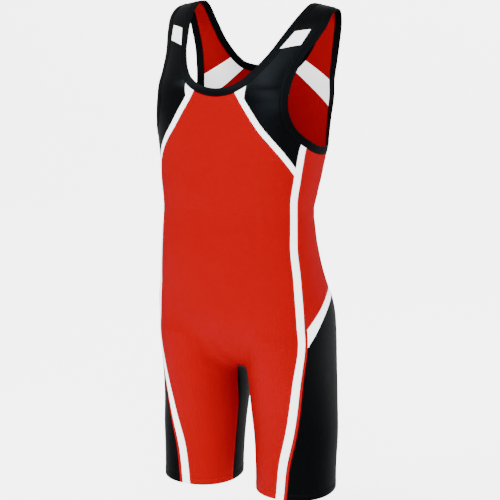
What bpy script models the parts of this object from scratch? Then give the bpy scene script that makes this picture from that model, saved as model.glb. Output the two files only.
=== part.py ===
"""Wrestling singlet, filled out as if worn, on a general figure.

Metres, +Z up. The front faces -Y and the wearer's left is +X. The origin lies
between the shoulders, at the height of the straps' tops.
"""

import math

import bmesh
import bpy
import numpy as np

# Cloth walls and seams
CLOTH = 0.0016
BINDING = 0.0026
BINDING_SIDES = 0.0016
BINDING_WIDTH = 0.0125
SEAM_GAP = 0.0003
PATCH = 0.0008

# Lengths that set the garment's size
HEM = -0.856
CHEST_STRIPE = 0.0095
CHEST_STRIPE_FLARE = 0.0230
CHEST_FLARE_SHARE = 0.10
SIDE_STRIPE = 0.0145
PIPING = 0.0060

# The torso closes over the shoulders and under the seat
SHOULDER_START = -0.043
SHOULDER_TOP = 0.004
SEAT_START = -0.500
SEAT_BOTTOM = -0.636
LEG_START = -0.623
LEG_TOP = -0.470
SHOULDER_CLOSING = 3.0
SEAT_CLOSING = 2.2
LEG_SQUARENESS = 2.15
BLEND = 15.0

# Torso sections, from the bottom up
# height, half width, middle, front, back, squareness
TORSO = np.array([
    (-0.613, 0.153, 0.000, -0.1135, 0.1065, 2.3),
    (-0.572, 0.155, -0.005, -0.1205, 0.102, 2.3),
    (-0.521, 0.154, -0.018, -0.131, 0.087, 2.3),
    (-0.475, 0.1475, -0.029, -0.1375, 0.074, 2.3),
    (-0.435, 0.142, -0.039, -0.141, 0.060, 2.3),
    (-0.387, 0.1355, -0.045, -0.1425, 0.047, 2.35),
    (-0.341, 0.132, -0.0425, -0.142, 0.0435, 2.4),
    (-0.298, 0.1375, -0.0335, -0.1435, 0.0555, 2.45),
    (-0.253, 0.142, -0.0235, -0.144, 0.073, 2.5),
    (-0.202, 0.149, -0.0165, -0.143, 0.0865, 2.6),
    (-0.157, 0.1565, -0.004, -0.1405, 0.085, 2.8),
    (-0.130, 0.153, 0.014, -0.139, 0.081, 2.8),
    (-0.113, 0.1525, 0.031, -0.1305, 0.078, 2.75),
    (-0.085, 0.158, 0.045, -0.1065, 0.0735, 2.7),
    (-0.055, 0.163, 0.048, -0.0745, 0.068, 2.8),
    (-0.040, 0.1625, 0.047, -0.0565, 0.065, 3.0),
    (-0.020, 0.167, 0.040, -0.032, 0.061, 3.0),
    (-0.001, 0.175, 0.032, -0.008, 0.055, 3.0),
])

# Leg sections, from the bottom up
# height, centre x, centre y, half width, half depth
LEG = np.array([
    (-0.856, 0.092, -0.001, 0.0695, 0.0735),
    (-0.812, 0.0915, 0.000, 0.070, 0.075),
    (-0.757, 0.0905, 0.002, 0.072, 0.0795),
    (-0.702, 0.0865, 0.003, 0.0725, 0.0895),
    (-0.623, 0.084, -0.001, 0.0705, 0.105),
    (-0.560, 0.084, -0.008, 0.0705, 0.110),
])

# Seam lines on the wearer's left: x, y, z, all laid on the form afterwards
NECK_EDGE = (
    (0.000, -0.1395, -0.131),
    (0.0255, -0.1395, -0.126),
    (0.045, -0.133, -0.1155),
    (0.060, -0.117, -0.100),
    (0.070, -0.101, -0.085),
    (0.078, -0.0865, -0.070),
    (0.084, -0.0695, -0.055),
    (0.090, -0.0515, -0.040),
    (0.0955, -0.0325, -0.025),
    (0.100, -0.012, -0.010),
    (0.1025, 0.008, -0.001),
    (0.1035, 0.028, 0.001),
    (0.101, 0.045, -0.010),
    (0.0955, 0.057, -0.029),
    (0.0875, 0.066, -0.048),
    (0.0815, 0.0675, -0.062),
    (0.0693, 0.0715, -0.0815),
    (0.0544, 0.0745, -0.099),
    (0.046, 0.076, -0.1055),
    (0.031, 0.077, -0.110),
    (0.000, 0.0775, -0.1115),
)
ARMHOLE_EDGE = (
    (0.1481, 0.0407, -0.0102),
    (0.1505, 0.032, -0.003),
    (0.149, 0.012, -0.012),
    (0.1455, -0.001, -0.025),
    (0.1415, -0.0155, -0.040),
    (0.137, -0.031, -0.055),
    (0.131, -0.0495, -0.070),
    (0.126, -0.0675, -0.085),
    (0.123, -0.081, -0.101),
    (0.1205, -0.0975, -0.121),
    (0.120, -0.1105, -0.145),
    (0.1215, -0.1125, -0.165),
    (0.1255, -0.1045, -0.186),
    (0.1355, -0.064, -0.219),
    (0.143, -0.010, -0.235),
    (0.140, 0.0345, -0.229),
    (0.1315, 0.053, -0.190),
    (0.1325, 0.0585, -0.140),
    (0.135, 0.062, -0.108),
    (0.1385, 0.0645, -0.080),
    (0.1425, 0.063, -0.055),
    (0.1455, 0.060, -0.035),
    (0.148, 0.048, -0.012),
)
SHOULDER = (0.1032, 0.036, 0.0004)
CHEST_LINE = (
    (0.0285, -0.1385, -0.119),
    (0.0375, -0.1385, -0.137),
    (0.0465, -0.138, -0.153),
    (0.0588, -0.1375, -0.172),
    (0.0757, -0.1335, -0.198),
    (0.0966, -0.124, -0.225),
    (0.1105, -0.1125, -0.246),
    (0.1236, -0.0945, -0.273),
    (0.1325, -0.083, -0.291),
)
SIDE_LINE = (
    (0.139, -0.0685, -0.200),
    (0.134, -0.0815, -0.230),
    (0.130, -0.0845, -0.2555),
    (0.1265, -0.088, -0.2835),
    (0.1226, -0.091, -0.3155),
    (0.122, -0.0895, -0.340),
    (0.1242, -0.093, -0.405),
    (0.1287, -0.090, -0.448),
    (0.133, -0.086, -0.5215),
    (0.131, -0.0805, -0.574),
    (0.127, -0.0835, -0.629),
    (0.1112, -0.0755, -0.731),
    (0.0985, -0.0725, -0.789),
    (0.0918, -0.071, -0.856),
    (0.0885, -0.071, -0.882),
)
HIP_BAND_TOP = (
    (0.1315, -0.0835, -0.5545),
    (0.1415, -0.0725, -0.5395),
    (0.1528, -0.0539, -0.520),
    (0.1557, -0.0299, -0.5025),
    (0.1526, -0.0065, -0.4905),
    (0.1475, 0.016, -0.4845),
    (0.1355, 0.045, -0.479),
    (0.1125, 0.0665, -0.475),
    (0.0985, 0.0735, -0.474),
)
HIP_BAND_BOTTOM = (
    (0.130, -0.082, -0.589),
    (0.1408, -0.0702, -0.572),
    (0.1523, -0.0516, -0.5505),
    (0.1586, -0.029, -0.5255),
    (0.1568, 0.0, -0.5065),
    (0.151, 0.0235, -0.500),
    (0.140, 0.0505, -0.4955),
    (0.1155, 0.0705, -0.491),
    (0.1005, 0.0785, -0.490),
)
SIDE_BACK_LINE = (
    (0.1355, 0.0395, -0.209),
    (0.127, 0.0455, -0.239),
    (0.1185, 0.0515, -0.267),
    (0.112, 0.0415, -0.301),
    (0.106, 0.0325, -0.341),
    (0.1095, 0.033, -0.387),
    (0.114, 0.045, -0.435),
    (0.1195, 0.057, -0.475),
    (0.127, 0.0705, -0.521),
    (0.1325, 0.081, -0.572),
    (0.136, 0.076, -0.623),
    (0.135, 0.0595, -0.706),
    (0.130, 0.0515, -0.791),
    (0.1275, 0.0485, -0.856),
    (0.127, 0.049, -0.882),
)
BACK_BAND_TOP = (
    (0.050, 0.0765, -0.086),
    (0.0655, 0.074, -0.096),
    (0.0785, 0.0735, -0.104),
    (0.1025, 0.0715, -0.119),
    (0.1225, 0.065, -0.1315),
    (0.1415, 0.058, -0.142),
)
BACK_BAND_BOTTOM = (
    (0.036, 0.079, -0.107),
    (0.0491, 0.0795, -0.1185),
    (0.0593, 0.078, -0.1275),
    (0.0789, 0.0785, -0.144),
    (0.0968, 0.0755, -0.1585),
    (0.1138, 0.068, -0.1715),
    (0.132, 0.059, -0.184),
)
GUSSET_FRONT = (
    (0.000, -0.043, -0.621),
    (0.0055, -0.038, -0.625),
    (0.0098, -0.030, -0.6335),
    (0.0132, -0.0245, -0.645),
    (0.0155, -0.022, -0.664),
    (0.017, -0.0165, -0.705),
    (0.020, -0.016, -0.764),
    (0.024, -0.0205, -0.833),
    (0.0255, -0.022, -0.856),
    (0.027, -0.023, -0.882),
)
GUSSET_BACK = (
    (0.000, 0.0865, -0.613),
    (0.012, 0.0815, -0.619),
    (0.0205, 0.066, -0.644),
    (0.0275, 0.056, -0.685),
    (0.033, 0.0495, -0.770),
    (0.0375, 0.0465, -0.856),
    (0.0375, 0.0465, -0.882),
)
CROTCH_LINE = (
    (0.000, -0.043, -0.621),
    (0.000, -0.012, -0.645),
    (0.000, 0.0305, -0.659),
    (0.000, 0.066, -0.644),
    (0.000, 0.0865, -0.613),
)
STRAP_PATCH = (
    (0.1045, -0.0488, -0.0422),
    (0.1268, -0.0351, -0.0391),
    (0.0905, -0.0784, -0.0690),
    (0.1192, -0.0585, -0.0629),
)

# Steps along the seams, the same on both pieces that meet there
ACROSS_FRONT = 8
ACROSS_BACK = 8
ACROSS_GUSSET = 6
ACROSS_STRAP = 4
ACROSS_LEG_SIDE = 9
FLARE_STEPS = 1
FRONT_STRAP_STEPS = 11
CHEST_STRIPE_STEPS = 8
TOP_STRIPE_STEPS = ACROSS_STRAP
SIDE_STEPS = 14
BAND_STEPS = 2
LEG_STEPS = 13
GUSSET_STEPS = 12
BACK_STRAP_STEPS = 10
BACK_BAND_STEPS = 2
BACK_BAND_ACROSS = 4
BACK_ARMHOLE_STEPS = 4
FINE = 600
FULL_TURN = 2 * math.pi

# Colours in linear light
RED = (0.600, 0.004, 0.003, 1.0)
BLACK = (0.004, 0.004, 0.005, 1.0)
WHITE = (0.870, 0.880, 0.900, 1.0)


def eased(table, at):
    """A table's further columns at given values of its first, on a smooth curve."""
    keys, values = table[:, 0], table[:, 1:]
    slopes = np.gradient(values, keys, axis=0)
    row = np.clip(np.searchsorted(keys, at) - 1, 0, len(keys) - 2)
    span = (keys[row + 1] - keys[row])[:, None]
    t = np.clip((at - keys[row])[:, None] / span, 0.0, 1.0)
    start = (1 + 2 * t) * (1 - t) ** 2 * values[row] + t * (1 - t) ** 2 * span * slopes[row]
    end = t ** 2 * (3 - 2 * t) * values[row + 1] - t ** 2 * (1 - t) * span * slopes[row + 1]
    return start + end


def rounded(amounts, power):
    """Joins radii to one, as the axes of a superellipse are."""
    return sum(np.abs(amount) ** power for amount in amounts) ** (1 / power)


def form(points):
    """1 on the body's surface, less inside it and more outside."""
    x, y, z = points.T
    wide, middle, front, back, square = eased(TORSO, z).T
    deep = np.where(y < middle, middle - front, back - middle)
    rise = np.clip((z - SHOULDER_START) / (SHOULDER_TOP - SHOULDER_START), 0, None)
    drop = np.clip((SEAT_START - z) / (SEAT_START - SEAT_BOTTOM), 0, None)
    girth = rounded((x / wide, (y - middle) / deep), square)
    forms = [rounded((rounded((girth, rise), SHOULDER_CLOSING), drop), SEAT_CLOSING)]
    centre_x, centre_y, wide, deep = eased(LEG, z).T
    rise = np.clip((z - LEG_START) / (LEG_TOP - LEG_START), 0, None)
    for side in (1, -1):
        girth = rounded(((x - side * centre_x) / wide, (y - centre_y) / deep), LEG_SQUARENESS)
        forms.append(rounded((girth, rise), SHOULDER_CLOSING))
    return -np.log(sum(np.exp(-BLEND * part) for part in forms)) / BLEND


def slope(points):
    """The form's gradient, which points straight out of the cloth."""
    step = 1e-4
    columns = []
    for axis in np.eye(3) * step:
        columns.append((form(points + axis) - form(points - axis)) / (2 * step))
    return np.column_stack(columns)


def outward(points):
    """Unit vectors straight out of the cloth."""
    flat = slope(points.reshape(-1, 3))
    return (flat / np.linalg.norm(flat, axis=1)[:, None]).reshape(points.shape)


def settled(points):
    """Points moved on to the form along its gradient."""
    flat = points.reshape(-1, 3).copy()
    for _ in range(8):
        steep = slope(flat)
        lack = (form(flat) - 1.0) / np.maximum((steep ** 2).sum(axis=1), 1e-6)
        flat -= np.clip(lack, -0.004, 0.004)[:, None] * steep
    return flat.reshape(points.shape)


def line_through(rows, closed=False):
    """A smooth line on the form; one that starts or ends at x = 0 crosses it square."""
    points = np.array(rows, dtype=float)
    flip = np.array([-1.0, 1.0, 1.0])
    head = tail = points[:0]
    if closed:
        head, tail = points[-3:], points[:4]
    if not closed and points[0, 0] == 0:
        head = points[2:0:-1] * flip
    if not closed and points[-1, 0] == 0:
        tail = points[-2:-4:-1] * flip
    first = len(head)
    last = first + len(points) - (0 if closed else 1)
    points = np.vstack([head, points, tail])
    along = np.concatenate([[0], np.cumsum(np.linalg.norm(np.diff(points, axis=0), axis=1))])
    table = np.column_stack([along, points])
    line = eased(table, np.linspace(along[first], along[last], FINE))
    return settled(line)


def shifted(line, distance):
    """The line moved sideways over the form, to its left as seen from outside."""
    ahead = np.gradient(line, axis=0)
    if np.allclose(line[0], line[-1], atol=1e-5):
        ahead[0] = ahead[-1] = line[1] - line[-2]
    side = np.cross(outward(line), ahead)
    side /= np.linalg.norm(side, axis=1)[:, None]
    moved = settled(line + side * distance)
    on_middle = np.abs(line[:, 0]) < 1e-9
    moved[on_middle, 0] = 0.0
    return moved


def spot(line, marks):
    """Points of a line at marks, which count its fine points."""
    whole = np.arange(len(line))
    marks = np.atleast_1d(marks)
    return np.column_stack([np.interp(marks, whole, line[:, axis]) for axis in range(3)])


def even(line, start, end, steps):
    """Marks that part a stretch of a line into equal steps."""
    fine = np.linspace(start, end, FINE)
    pieces = np.linalg.norm(np.diff(spot(line, fine), axis=0), axis=1)
    run = np.concatenate([[0], np.cumsum(pieces)])
    return np.interp(np.linspace(0, run[-1], steps + 1), run, fine)


def stretch(line, start, end, steps):
    """Evenly spaced points of a line between two marks."""
    return spot(line, even(line, start, end, steps))


def meeting(first, second):
    """The marks at which two lines cross or come closest."""
    spans = [(0, len(first) - 1), (0, len(second) - 1)]
    count = 160
    for _ in range(4):
        one, two = np.linspace(*spans[0], count), np.linspace(*spans[1], count)
        gaps = spot(first, one)[:, None] - spot(second, two)[None]
        i, j = np.unravel_index(np.linalg.norm(gaps, axis=2).argmin(), (count, count))
        spans = [(one[max(i - 2, 0)], one[min(i + 2, count - 1)]),
                 (two[max(j - 2, 0)], two[min(j + 2, count - 1)])]
    return one[i], two[j]


def at_height(line, height):
    """The mark at which a line that runs down passes a height."""
    return np.interp(-height, -line[:, 2], np.arange(len(line)))


def joined(*stretches):
    """Stretches end to end, with each shared point kept once."""
    return np.vstack([stretches[0]] + [part[1:] for part in stretches[1:]])


def hub(z):
    """The middle of the torso, moving over to the middle of the leg below it."""
    torso, leg = eased(TORSO, z), eased(LEG, z)
    t = np.clip((-0.50 - z) / 0.16, 0, 1)
    t = t * t * (3 - 2 * t)
    return t * leg[:, 0], (1 - t) * torso[:, 1] + t * leg[:, 1]


def unrolled(points, turn):
    """Angle from the front, radius and height round the hub; turn picks the range."""
    centre_x, centre_y = hub(points[:, 2])
    x, y = points[:, 0] - centre_x, points[:, 1] - centre_y
    angle = np.arctan2(x, -y)
    angle = (angle - turn + math.pi) % FULL_TURN + turn - math.pi
    return np.column_stack([angle, np.hypot(x, y), points[:, 2]])


def rolled(places):
    """Points from their angle, radius and height."""
    centre_x, centre_y = hub(places[:, 2])
    x = centre_x + places[:, 1] * np.sin(places[:, 0])
    y = centre_y - places[:, 1] * np.cos(places[:, 0])
    return np.column_stack([x, y, places[:, 2]])


def panel(top, bottom, left, right, turn=0.0):
    """A four-sided piece's points, blended from its sides and laid on the form."""
    sides = [unrolled(side, turn) for side in (top, bottom, left, right)]
    across = np.linspace(0, 1, len(top))[None, :, None]
    down = np.linspace(0, 1, len(left))[:, None, None]
    upper, lower = sides[0][None], sides[1][None]
    near, far = sides[2][:, None], sides[3][:, None]
    grid = (1 - down) * upper + down * lower + (1 - across) * near + across * far
    grid -= (1 - across) * ((1 - down) * upper[:, :1] + down * lower[:, :1])
    grid -= across * ((1 - down) * upper[:, -1:] + down * lower[:, -1:])
    grid = settled(rolled(grid.reshape(-1, 3)).reshape(grid.shape))
    grid[0], grid[-1], grid[:, 0], grid[:, -1] = top, bottom, left, right
    return grid


def strip(first, second, shares=(0.0, 1.0)):
    """A long piece between two lines, with points at the given shares of its width."""
    rows = [first + (second - first) * share for share in shares]
    grid = settled(np.stack(rows, axis=1))
    grid[:, 0], grid[:, -1] = first, second
    return grid


def trimmed(grid, gap=SEAM_GAP / 2):
    """The piece with its border moved in by half a seam's gap, but not along x = 0."""
    rows, columns = grid.shape[:2]
    loop = [(0, i) for i in range(columns)]
    loop += [(j, columns - 1) for j in range(1, rows)]
    loop += [(rows - 1, i) for i in range(columns - 2, -1, -1)]
    loop += [(j, 0) for j in range(rows - 2, 0, -1)]
    border = np.array([grid[place] for place in loop])
    facing = outward(border)
    ahead = np.roll(border, -1, axis=0) - border
    inward = np.cross(facing, ahead)
    inward /= np.linalg.norm(inward, axis=1)[:, None]
    if ((grid[rows // 2, columns // 2] - border) * inward).sum(axis=1).mean() < 0:
        inward = -inward
    middle = np.abs(border[:, 0]) < 1e-7
    wanted = np.where(middle & np.roll(middle, -1), 0.0, gap)
    result = grid.copy()
    for k, place in enumerate(loop):
        one, two = inward[k - 1], inward[k]
        near, far = wanted[k - 1], wanted[k]
        turn = float(one @ two)
        if turn > 0.97:
            move = (one + two) / np.linalg.norm(one + two) * max(near, far)
        else:
            spread = 1 - turn ** 2
            move = (one * (near - far * turn) + two * (far - near * turn)) / spread
        result[place] = grid[place] + move
        if middle[k]:
            result[place][0] = 0.0
    return result


def flipped(grid):
    """The same piece on the wearer's right."""
    return grid * np.array([-1.0, 1.0, 1.0])


def finish(name, colour, roughness=0.55):
    """A plain cloth colour."""
    material = bpy.data.materials.new(name)
    material.use_nodes = True
    shader = material.node_tree.nodes["Principled BSDF"]
    shader.inputs["Base Color"].default_value = colour
    shader.inputs["Roughness"].default_value = roughness
    shader.inputs["Metallic"].default_value = 0.0
    return material


def wall(name, grid, colour, thickness=CLOTH, lift=0.0, across=False, trim=True):
    """Builds one cut piece: a wall on both sides of its points.

    across joins the mirrored half on to a piece that reaches x = 0. thickness is
    one value, or one for each column of the grid.
    """
    if trim:
        grid = trimmed(grid)
    facing = outward(grid)
    half = np.broadcast_to(np.asarray(thickness) / 2, grid.shape[:2])[..., None]
    outer = (grid + facing * (half + lift)).reshape(-1, 3)
    inner = (grid - facing * (half - lift)).reshape(-1, 3)
    rows, columns = grid.shape[:2]
    bm = bmesh.new()
    order = bm.verts.layers.int.new("order")
    bmesh.ops.create_grid(bm, x_segments=columns - 1, y_segments=rows - 1, size=1)
    bm.verts.ensure_lookup_table()
    for index, vertex in enumerate(bm.verts):
        vertex[order] = index
        vertex.co = inner[index]
    grown = bmesh.ops.extrude_face_region(bm, geom=bm.faces[:])
    for vertex in grown["geom"]:
        if isinstance(vertex, bmesh.types.BMVert):
            vertex.co = outer[vertex[order]]
    if across:
        cut = [face for face in bm.faces if all(abs(v.co.x) < 1e-6 for v in face.verts)]
        bmesh.ops.delete(bm, geom=cut, context="FACES_ONLY")
        parts = bm.verts[:] + bm.edges[:] + bm.faces[:]
        bmesh.ops.mirror(bm, geom=parts, axis="X", merge_dist=1e-6)
    bmesh.ops.recalc_face_normals(bm, faces=bm.faces[:])
    if bm.calc_volume(signed=True) < 0:
        bmesh.ops.reverse_faces(bm, faces=bm.faces[:])
    mesh = bpy.data.meshes.new(name)
    bm.to_mesh(mesh)
    bm.free()
    mesh.shade_smooth()
    mesh.set_sharp_from_angle(angle=math.radians(40))
    mesh.materials.append(finish(name, colour))
    piece = bpy.data.objects.new(name, mesh)
    bpy.context.collection.objects.link(piece)
    return piece


def pair(name, grid, colour, **how):
    """The same piece on the wearer's left and right."""
    wall(name + "_left", grid, colour, **how)
    wall(name + "_right", flipped(grid), colour, **how)


def lines():
    """Every seam line of the left half, by name."""
    named = {
        "neck_edge": line_through(NECK_EDGE),
        "armhole_edge": line_through(ARMHOLE_EDGE, closed=True),
        "chest_inner": line_through(CHEST_LINE),
        "side_middle": line_through(SIDE_LINE),
        "hip_top": line_through(HIP_BAND_TOP),
        "hip_bottom": line_through(HIP_BAND_BOTTOM),
        "side_back": line_through(SIDE_BACK_LINE),
        "back_band_top": line_through(BACK_BAND_TOP),
        "back_band_bottom": line_through(BACK_BAND_BOTTOM),
        "gusset_front": line_through(GUSSET_FRONT),
        "gusset_back": line_through(GUSSET_BACK),
        "crotch": line_through(CROTCH_LINE),
    }
    named["neck"] = shifted(named["neck_edge"], -BINDING_WIDTH)
    named["armhole"] = shifted(named["armhole_edge"], -BINDING_WIDTH)
    named["chest_outer"] = shifted(named["chest_inner"], CHEST_STRIPE)
    named["side_inner"] = shifted(named["side_middle"], -SIDE_STRIPE / 2)
    named["side_outer"] = shifted(named["side_middle"], SIDE_STRIPE / 2)
    named["piping"] = shifted(named["side_middle"], SIDE_STRIPE / 2 + PIPING)
    return named


def build():
    """Cuts every piece from the seam lines."""
    line = lines()
    neck, armhole = line["neck"], line["armhole"]
    inner, outer, piping = line["side_inner"], line["side_outer"], line["piping"]
    chest, side_back = line["chest_inner"], line["side_back"]
    hip_top, hip_bottom = line["hip_top"], line["hip_bottom"]
    band_top, band_bottom = line["back_band_top"], line["back_band_bottom"]
    last = FINE - 1

    # Where the seams meet along the neck
    neck_flare, chest_start = meeting(neck, chest)
    run = even(neck, neck_flare, neck_flare + 60, 60)
    lengths = np.cumsum(np.linalg.norm(np.diff(spot(neck, run), axis=0), axis=1))
    neck_tip = run[1 + int(np.argmin(np.abs(lengths - CHEST_STRIPE_FLARE)))]
    neck_shoulder = float(np.linalg.norm(line["neck_edge"] - SHOULDER, axis=1).argmin())
    neck_band_top, band_top_start = meeting(neck, band_top)
    neck_band_bottom, band_bottom_start = meeting(neck, band_bottom)

    # Where they meet along the armhole, which runs from the shoulder down its front
    arm_inner, inner_start = meeting(armhole, inner)
    arm_outer, outer_start = meeting(armhole, outer)
    arm_seam, seam_start = meeting(armhole, side_back)
    arm_band_bottom, band_bottom_end = meeting(armhole, band_bottom)
    arm_band_top, band_top_end = meeting(armhole, band_top)

    # Where they meet down the side
    inner_upper, chest_outer_end = meeting(inner, line["chest_outer"])
    inner_lower, chest_end = meeting(inner, chest)
    outer_hip_top, hip_top_start = meeting(outer, hip_top)
    outer_hip_bottom, hip_bottom_start = meeting(outer, hip_bottom)
    piping_top, hip_top_piping = meeting(piping, hip_top)
    piping_bend, hip_bottom_piping = meeting(piping, hip_bottom)
    seam_hip_top, hip_top_end = meeting(side_back, hip_top)
    seam_hip_bottom, hip_bottom_end = meeting(side_back, hip_bottom)

    def other(line_from, mark, line_to):
        return at_height(line_to, spot(line_from, mark)[0, 2])

    # The points along every stretch of seam
    neck_marks = {
        "front": even(neck, 0, neck_flare, ACROSS_FRONT),
        "flare": even(neck, neck_flare, neck_tip, FLARE_STEPS),
        "front_strap": even(neck, neck_tip, neck_shoulder, FRONT_STRAP_STEPS),
        "back_strap": even(neck, neck_shoulder, neck_band_top, BACK_STRAP_STEPS),
        "back_band": even(neck, neck_band_top, neck_band_bottom, BACK_BAND_STEPS),
        "back": even(neck, neck_band_bottom, last, ACROSS_BACK),
    }
    front_steps = FRONT_STRAP_STEPS + CHEST_STRIPE_STEPS
    across_side = ACROSS_LEG_SIDE + 1
    arm_marks = {
        "front": even(armhole, 0, arm_inner, front_steps),
        "stripe": even(armhole, arm_inner, arm_outer, 1),
        "side": even(armhole, arm_outer, arm_seam, across_side),
        "back": even(armhole, arm_seam, arm_band_bottom, BACK_ARMHOLE_STEPS),
        "band": even(armhole, arm_band_bottom, arm_band_top, BACK_BAND_STEPS),
        "back_strap": even(armhole, arm_band_top, last, BACK_STRAP_STEPS),
    }
    at_neck = {name: spot(neck, marks) for name, marks in neck_marks.items()}
    at_arm = {name: spot(armhole, marks) for name, marks in arm_marks.items()}

    stripe_inner = joined(
        stretch(inner, inner_start, inner_upper, TOP_STRIPE_STEPS),
        stretch(inner, inner_upper, inner_lower, 1),
        stretch(inner, inner_lower, other(outer, outer_hip_top, inner), SIDE_STEPS),
        stretch(inner, other(outer, outer_hip_top, inner),
                other(outer, outer_hip_bottom, inner), BAND_STEPS),
        stretch(inner, other(outer, outer_hip_bottom, inner), at_height(inner, HEM), LEG_STEPS),
    )
    stripe_outer = joined(
        stretch(outer, outer_start, other(inner, inner_upper, outer), TOP_STRIPE_STEPS),
        stretch(outer, other(inner, inner_upper, outer), other(inner, inner_lower, outer), 1),
        stretch(outer, other(inner, inner_lower, outer), outer_hip_top, SIDE_STEPS),
        stretch(outer, outer_hip_top, outer_hip_bottom, BAND_STEPS),
        stretch(outer, outer_hip_bottom, at_height(outer, HEM), LEG_STEPS),
    )
    stripe_inner[0], stripe_outer[0] = at_arm["front"][-1], at_arm["side"][0]
    side_top = TOP_STRIPE_STEPS + 1
    side_end = side_top + SIDE_STEPS
    band_end = side_end + BAND_STEPS

    chest_inner = stretch(chest, chest_start, chest_end, CHEST_STRIPE_STEPS)
    chest_inner[0], chest_inner[-1] = at_neck["front"][-1], stripe_inner[side_top]
    flare_end = chest_start + (chest_end - chest_start) * CHEST_FLARE_SHARE
    chest_outer = stretch(line["chest_outer"], flare_end, chest_outer_end,
                          CHEST_STRIPE_STEPS - 1)
    chest_outer = np.vstack([at_neck["flare"][-1:], chest_outer])
    chest_outer[-1] = stripe_inner[side_top - 1]

    seam = joined(
        stretch(side_back, seam_start, seam_hip_top, side_end),
        stretch(side_back, seam_hip_top, seam_hip_bottom, BAND_STEPS),
        stretch(side_back, seam_hip_bottom, at_height(side_back, HEM), LEG_STEPS),
    )
    seam[0] = at_arm["side"][-1]
    hip_upper = joined(
        stretch(hip_top, hip_top_start, hip_top_piping, 1),
        stretch(hip_top, hip_top_piping, hip_top_end, ACROSS_LEG_SIDE),
    )
    hip_upper[0], hip_upper[-1] = stripe_outer[side_end], seam[side_end]
    hip_lower = joined(
        stretch(hip_bottom, hip_bottom_start, hip_bottom_piping, 1),
        stretch(hip_bottom, hip_bottom_piping, hip_bottom_end, ACROSS_LEG_SIDE),
    )
    hip_lower[0], hip_lower[-1] = stripe_outer[band_end], seam[band_end]
    piping_outer = joined(
        stretch(piping, piping_top, piping_bend, BAND_STEPS),
        stretch(piping, piping_bend, at_height(piping, HEM), LEG_STEPS),
    )
    piping_outer[0], piping_outer[BAND_STEPS] = hip_upper[1], hip_lower[1]

    band_upper = stretch(band_top, band_top_start, band_top_end, BACK_BAND_ACROSS)
    band_upper[0], band_upper[-1] = at_neck["back_band"][0], at_arm["band"][-1]
    band_lower = stretch(band_bottom, band_bottom_start, band_bottom_end, BACK_BAND_ACROSS)
    band_lower[0], band_lower[-1] = at_neck["back_band"][-1], at_arm["band"][0]
    shoulder = settled(np.linspace(at_neck["front_strap"][-1], at_arm["front"][0],
                                   ACROSS_STRAP + 1))
    shoulder[0], shoulder[-1] = at_neck["front_strap"][-1], at_arm["front"][0]

    # The gusset's edges and the middle lines above it
    gusset_front = stretch(line["gusset_front"], 0, at_height(line["gusset_front"], HEM),
                           GUSSET_STEPS)
    gusset_back = stretch(line["gusset_back"], 0, at_height(line["gusset_back"], HEM),
                          GUSSET_STEPS)
    crotch = stretch(line["crotch"], 0, last, ACROSS_GUSSET)
    crotch[0], crotch[-1] = gusset_front[0], gusset_back[0]

    front_rows = CHEST_STRIPE_STEPS + len(stripe_inner) - side_top - 1
    back_rows = BACK_BAND_ACROSS + BACK_ARMHOLE_STEPS + len(seam) - 1
    middle_front = middle(at_neck["front"][0], gusset_front[0], front_rows - GUSSET_STEPS)
    middle_back = middle(at_neck["back"][-1], gusset_back[0], back_rows - GUSSET_STEPS)

    # Front, back and gusset
    front_inner = joined(middle_front, gusset_front)
    front_outer = joined(chest_inner, stripe_inner[side_top:])
    wall("front_panel", panel(at_neck["front"], hem(gusset_front, stripe_inner, ACROSS_FRONT),
                              front_inner, front_outer), RED, across=True)
    back_inner = joined(middle_back, gusset_back)
    back_outer = joined(band_lower, at_arm["back"][::-1], seam)
    wall("back_panel", panel(at_neck["back"][::-1],
                             hem(gusset_back, seam, ACROSS_BACK, math.pi),
                             back_inner, back_outer, math.pi), RED, across=True)
    wall("inner_leg_gusset", panel(crotch, hem(gusset_front, gusset_back, ACROSS_GUSSET,
                                               -math.pi / 2),
                                   gusset_front, gusset_back, -math.pi / 2),
         BLACK, across=True)

    # Stripes, chest and sides
    pair("chest_stripe", strip(chest_inner, chest_outer), WHITE)
    chest_neck = joined(at_neck["front_strap"][::-1], chest_outer)
    pair("chest_panel", panel(shoulder, stripe_inner[side_top - 1::-1],
                              chest_neck, at_arm["front"], math.pi / 2), BLACK)
    pair("side_stripe", strip(stripe_inner, stripe_outer), WHITE)
    pair("side_panel", panel(at_arm["side"], hip_upper, stripe_outer[:side_end + 1],
                             seam[:side_end + 1], math.pi / 2), RED)
    pair("hip_band", panel(hip_upper[1:], hip_lower[1:], piping_outer[:BAND_STEPS + 1],
                           seam[side_end:band_end + 1], math.pi / 2), WHITE)
    pair("leg_piping", strip(stripe_outer[side_end:], piping_outer), RED)
    pair("leg_side_panel", panel(hip_lower[1:], hem(piping_outer, seam, ACROSS_LEG_SIDE,
                                                    math.pi / 2),
                                 piping_outer[BAND_STEPS:], seam[band_end:], math.pi / 2), BLACK)

    # Back straps and the band across the shoulder blades
    pair("back_band", panel(band_upper, band_lower, at_neck["back_band"],
                            at_arm["band"][::-1], math.pi), WHITE)
    pair("back_strap", panel(shoulder, band_upper, at_neck["back_strap"],
                             at_arm["back_strap"][::-1], math.pi), RED)

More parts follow.
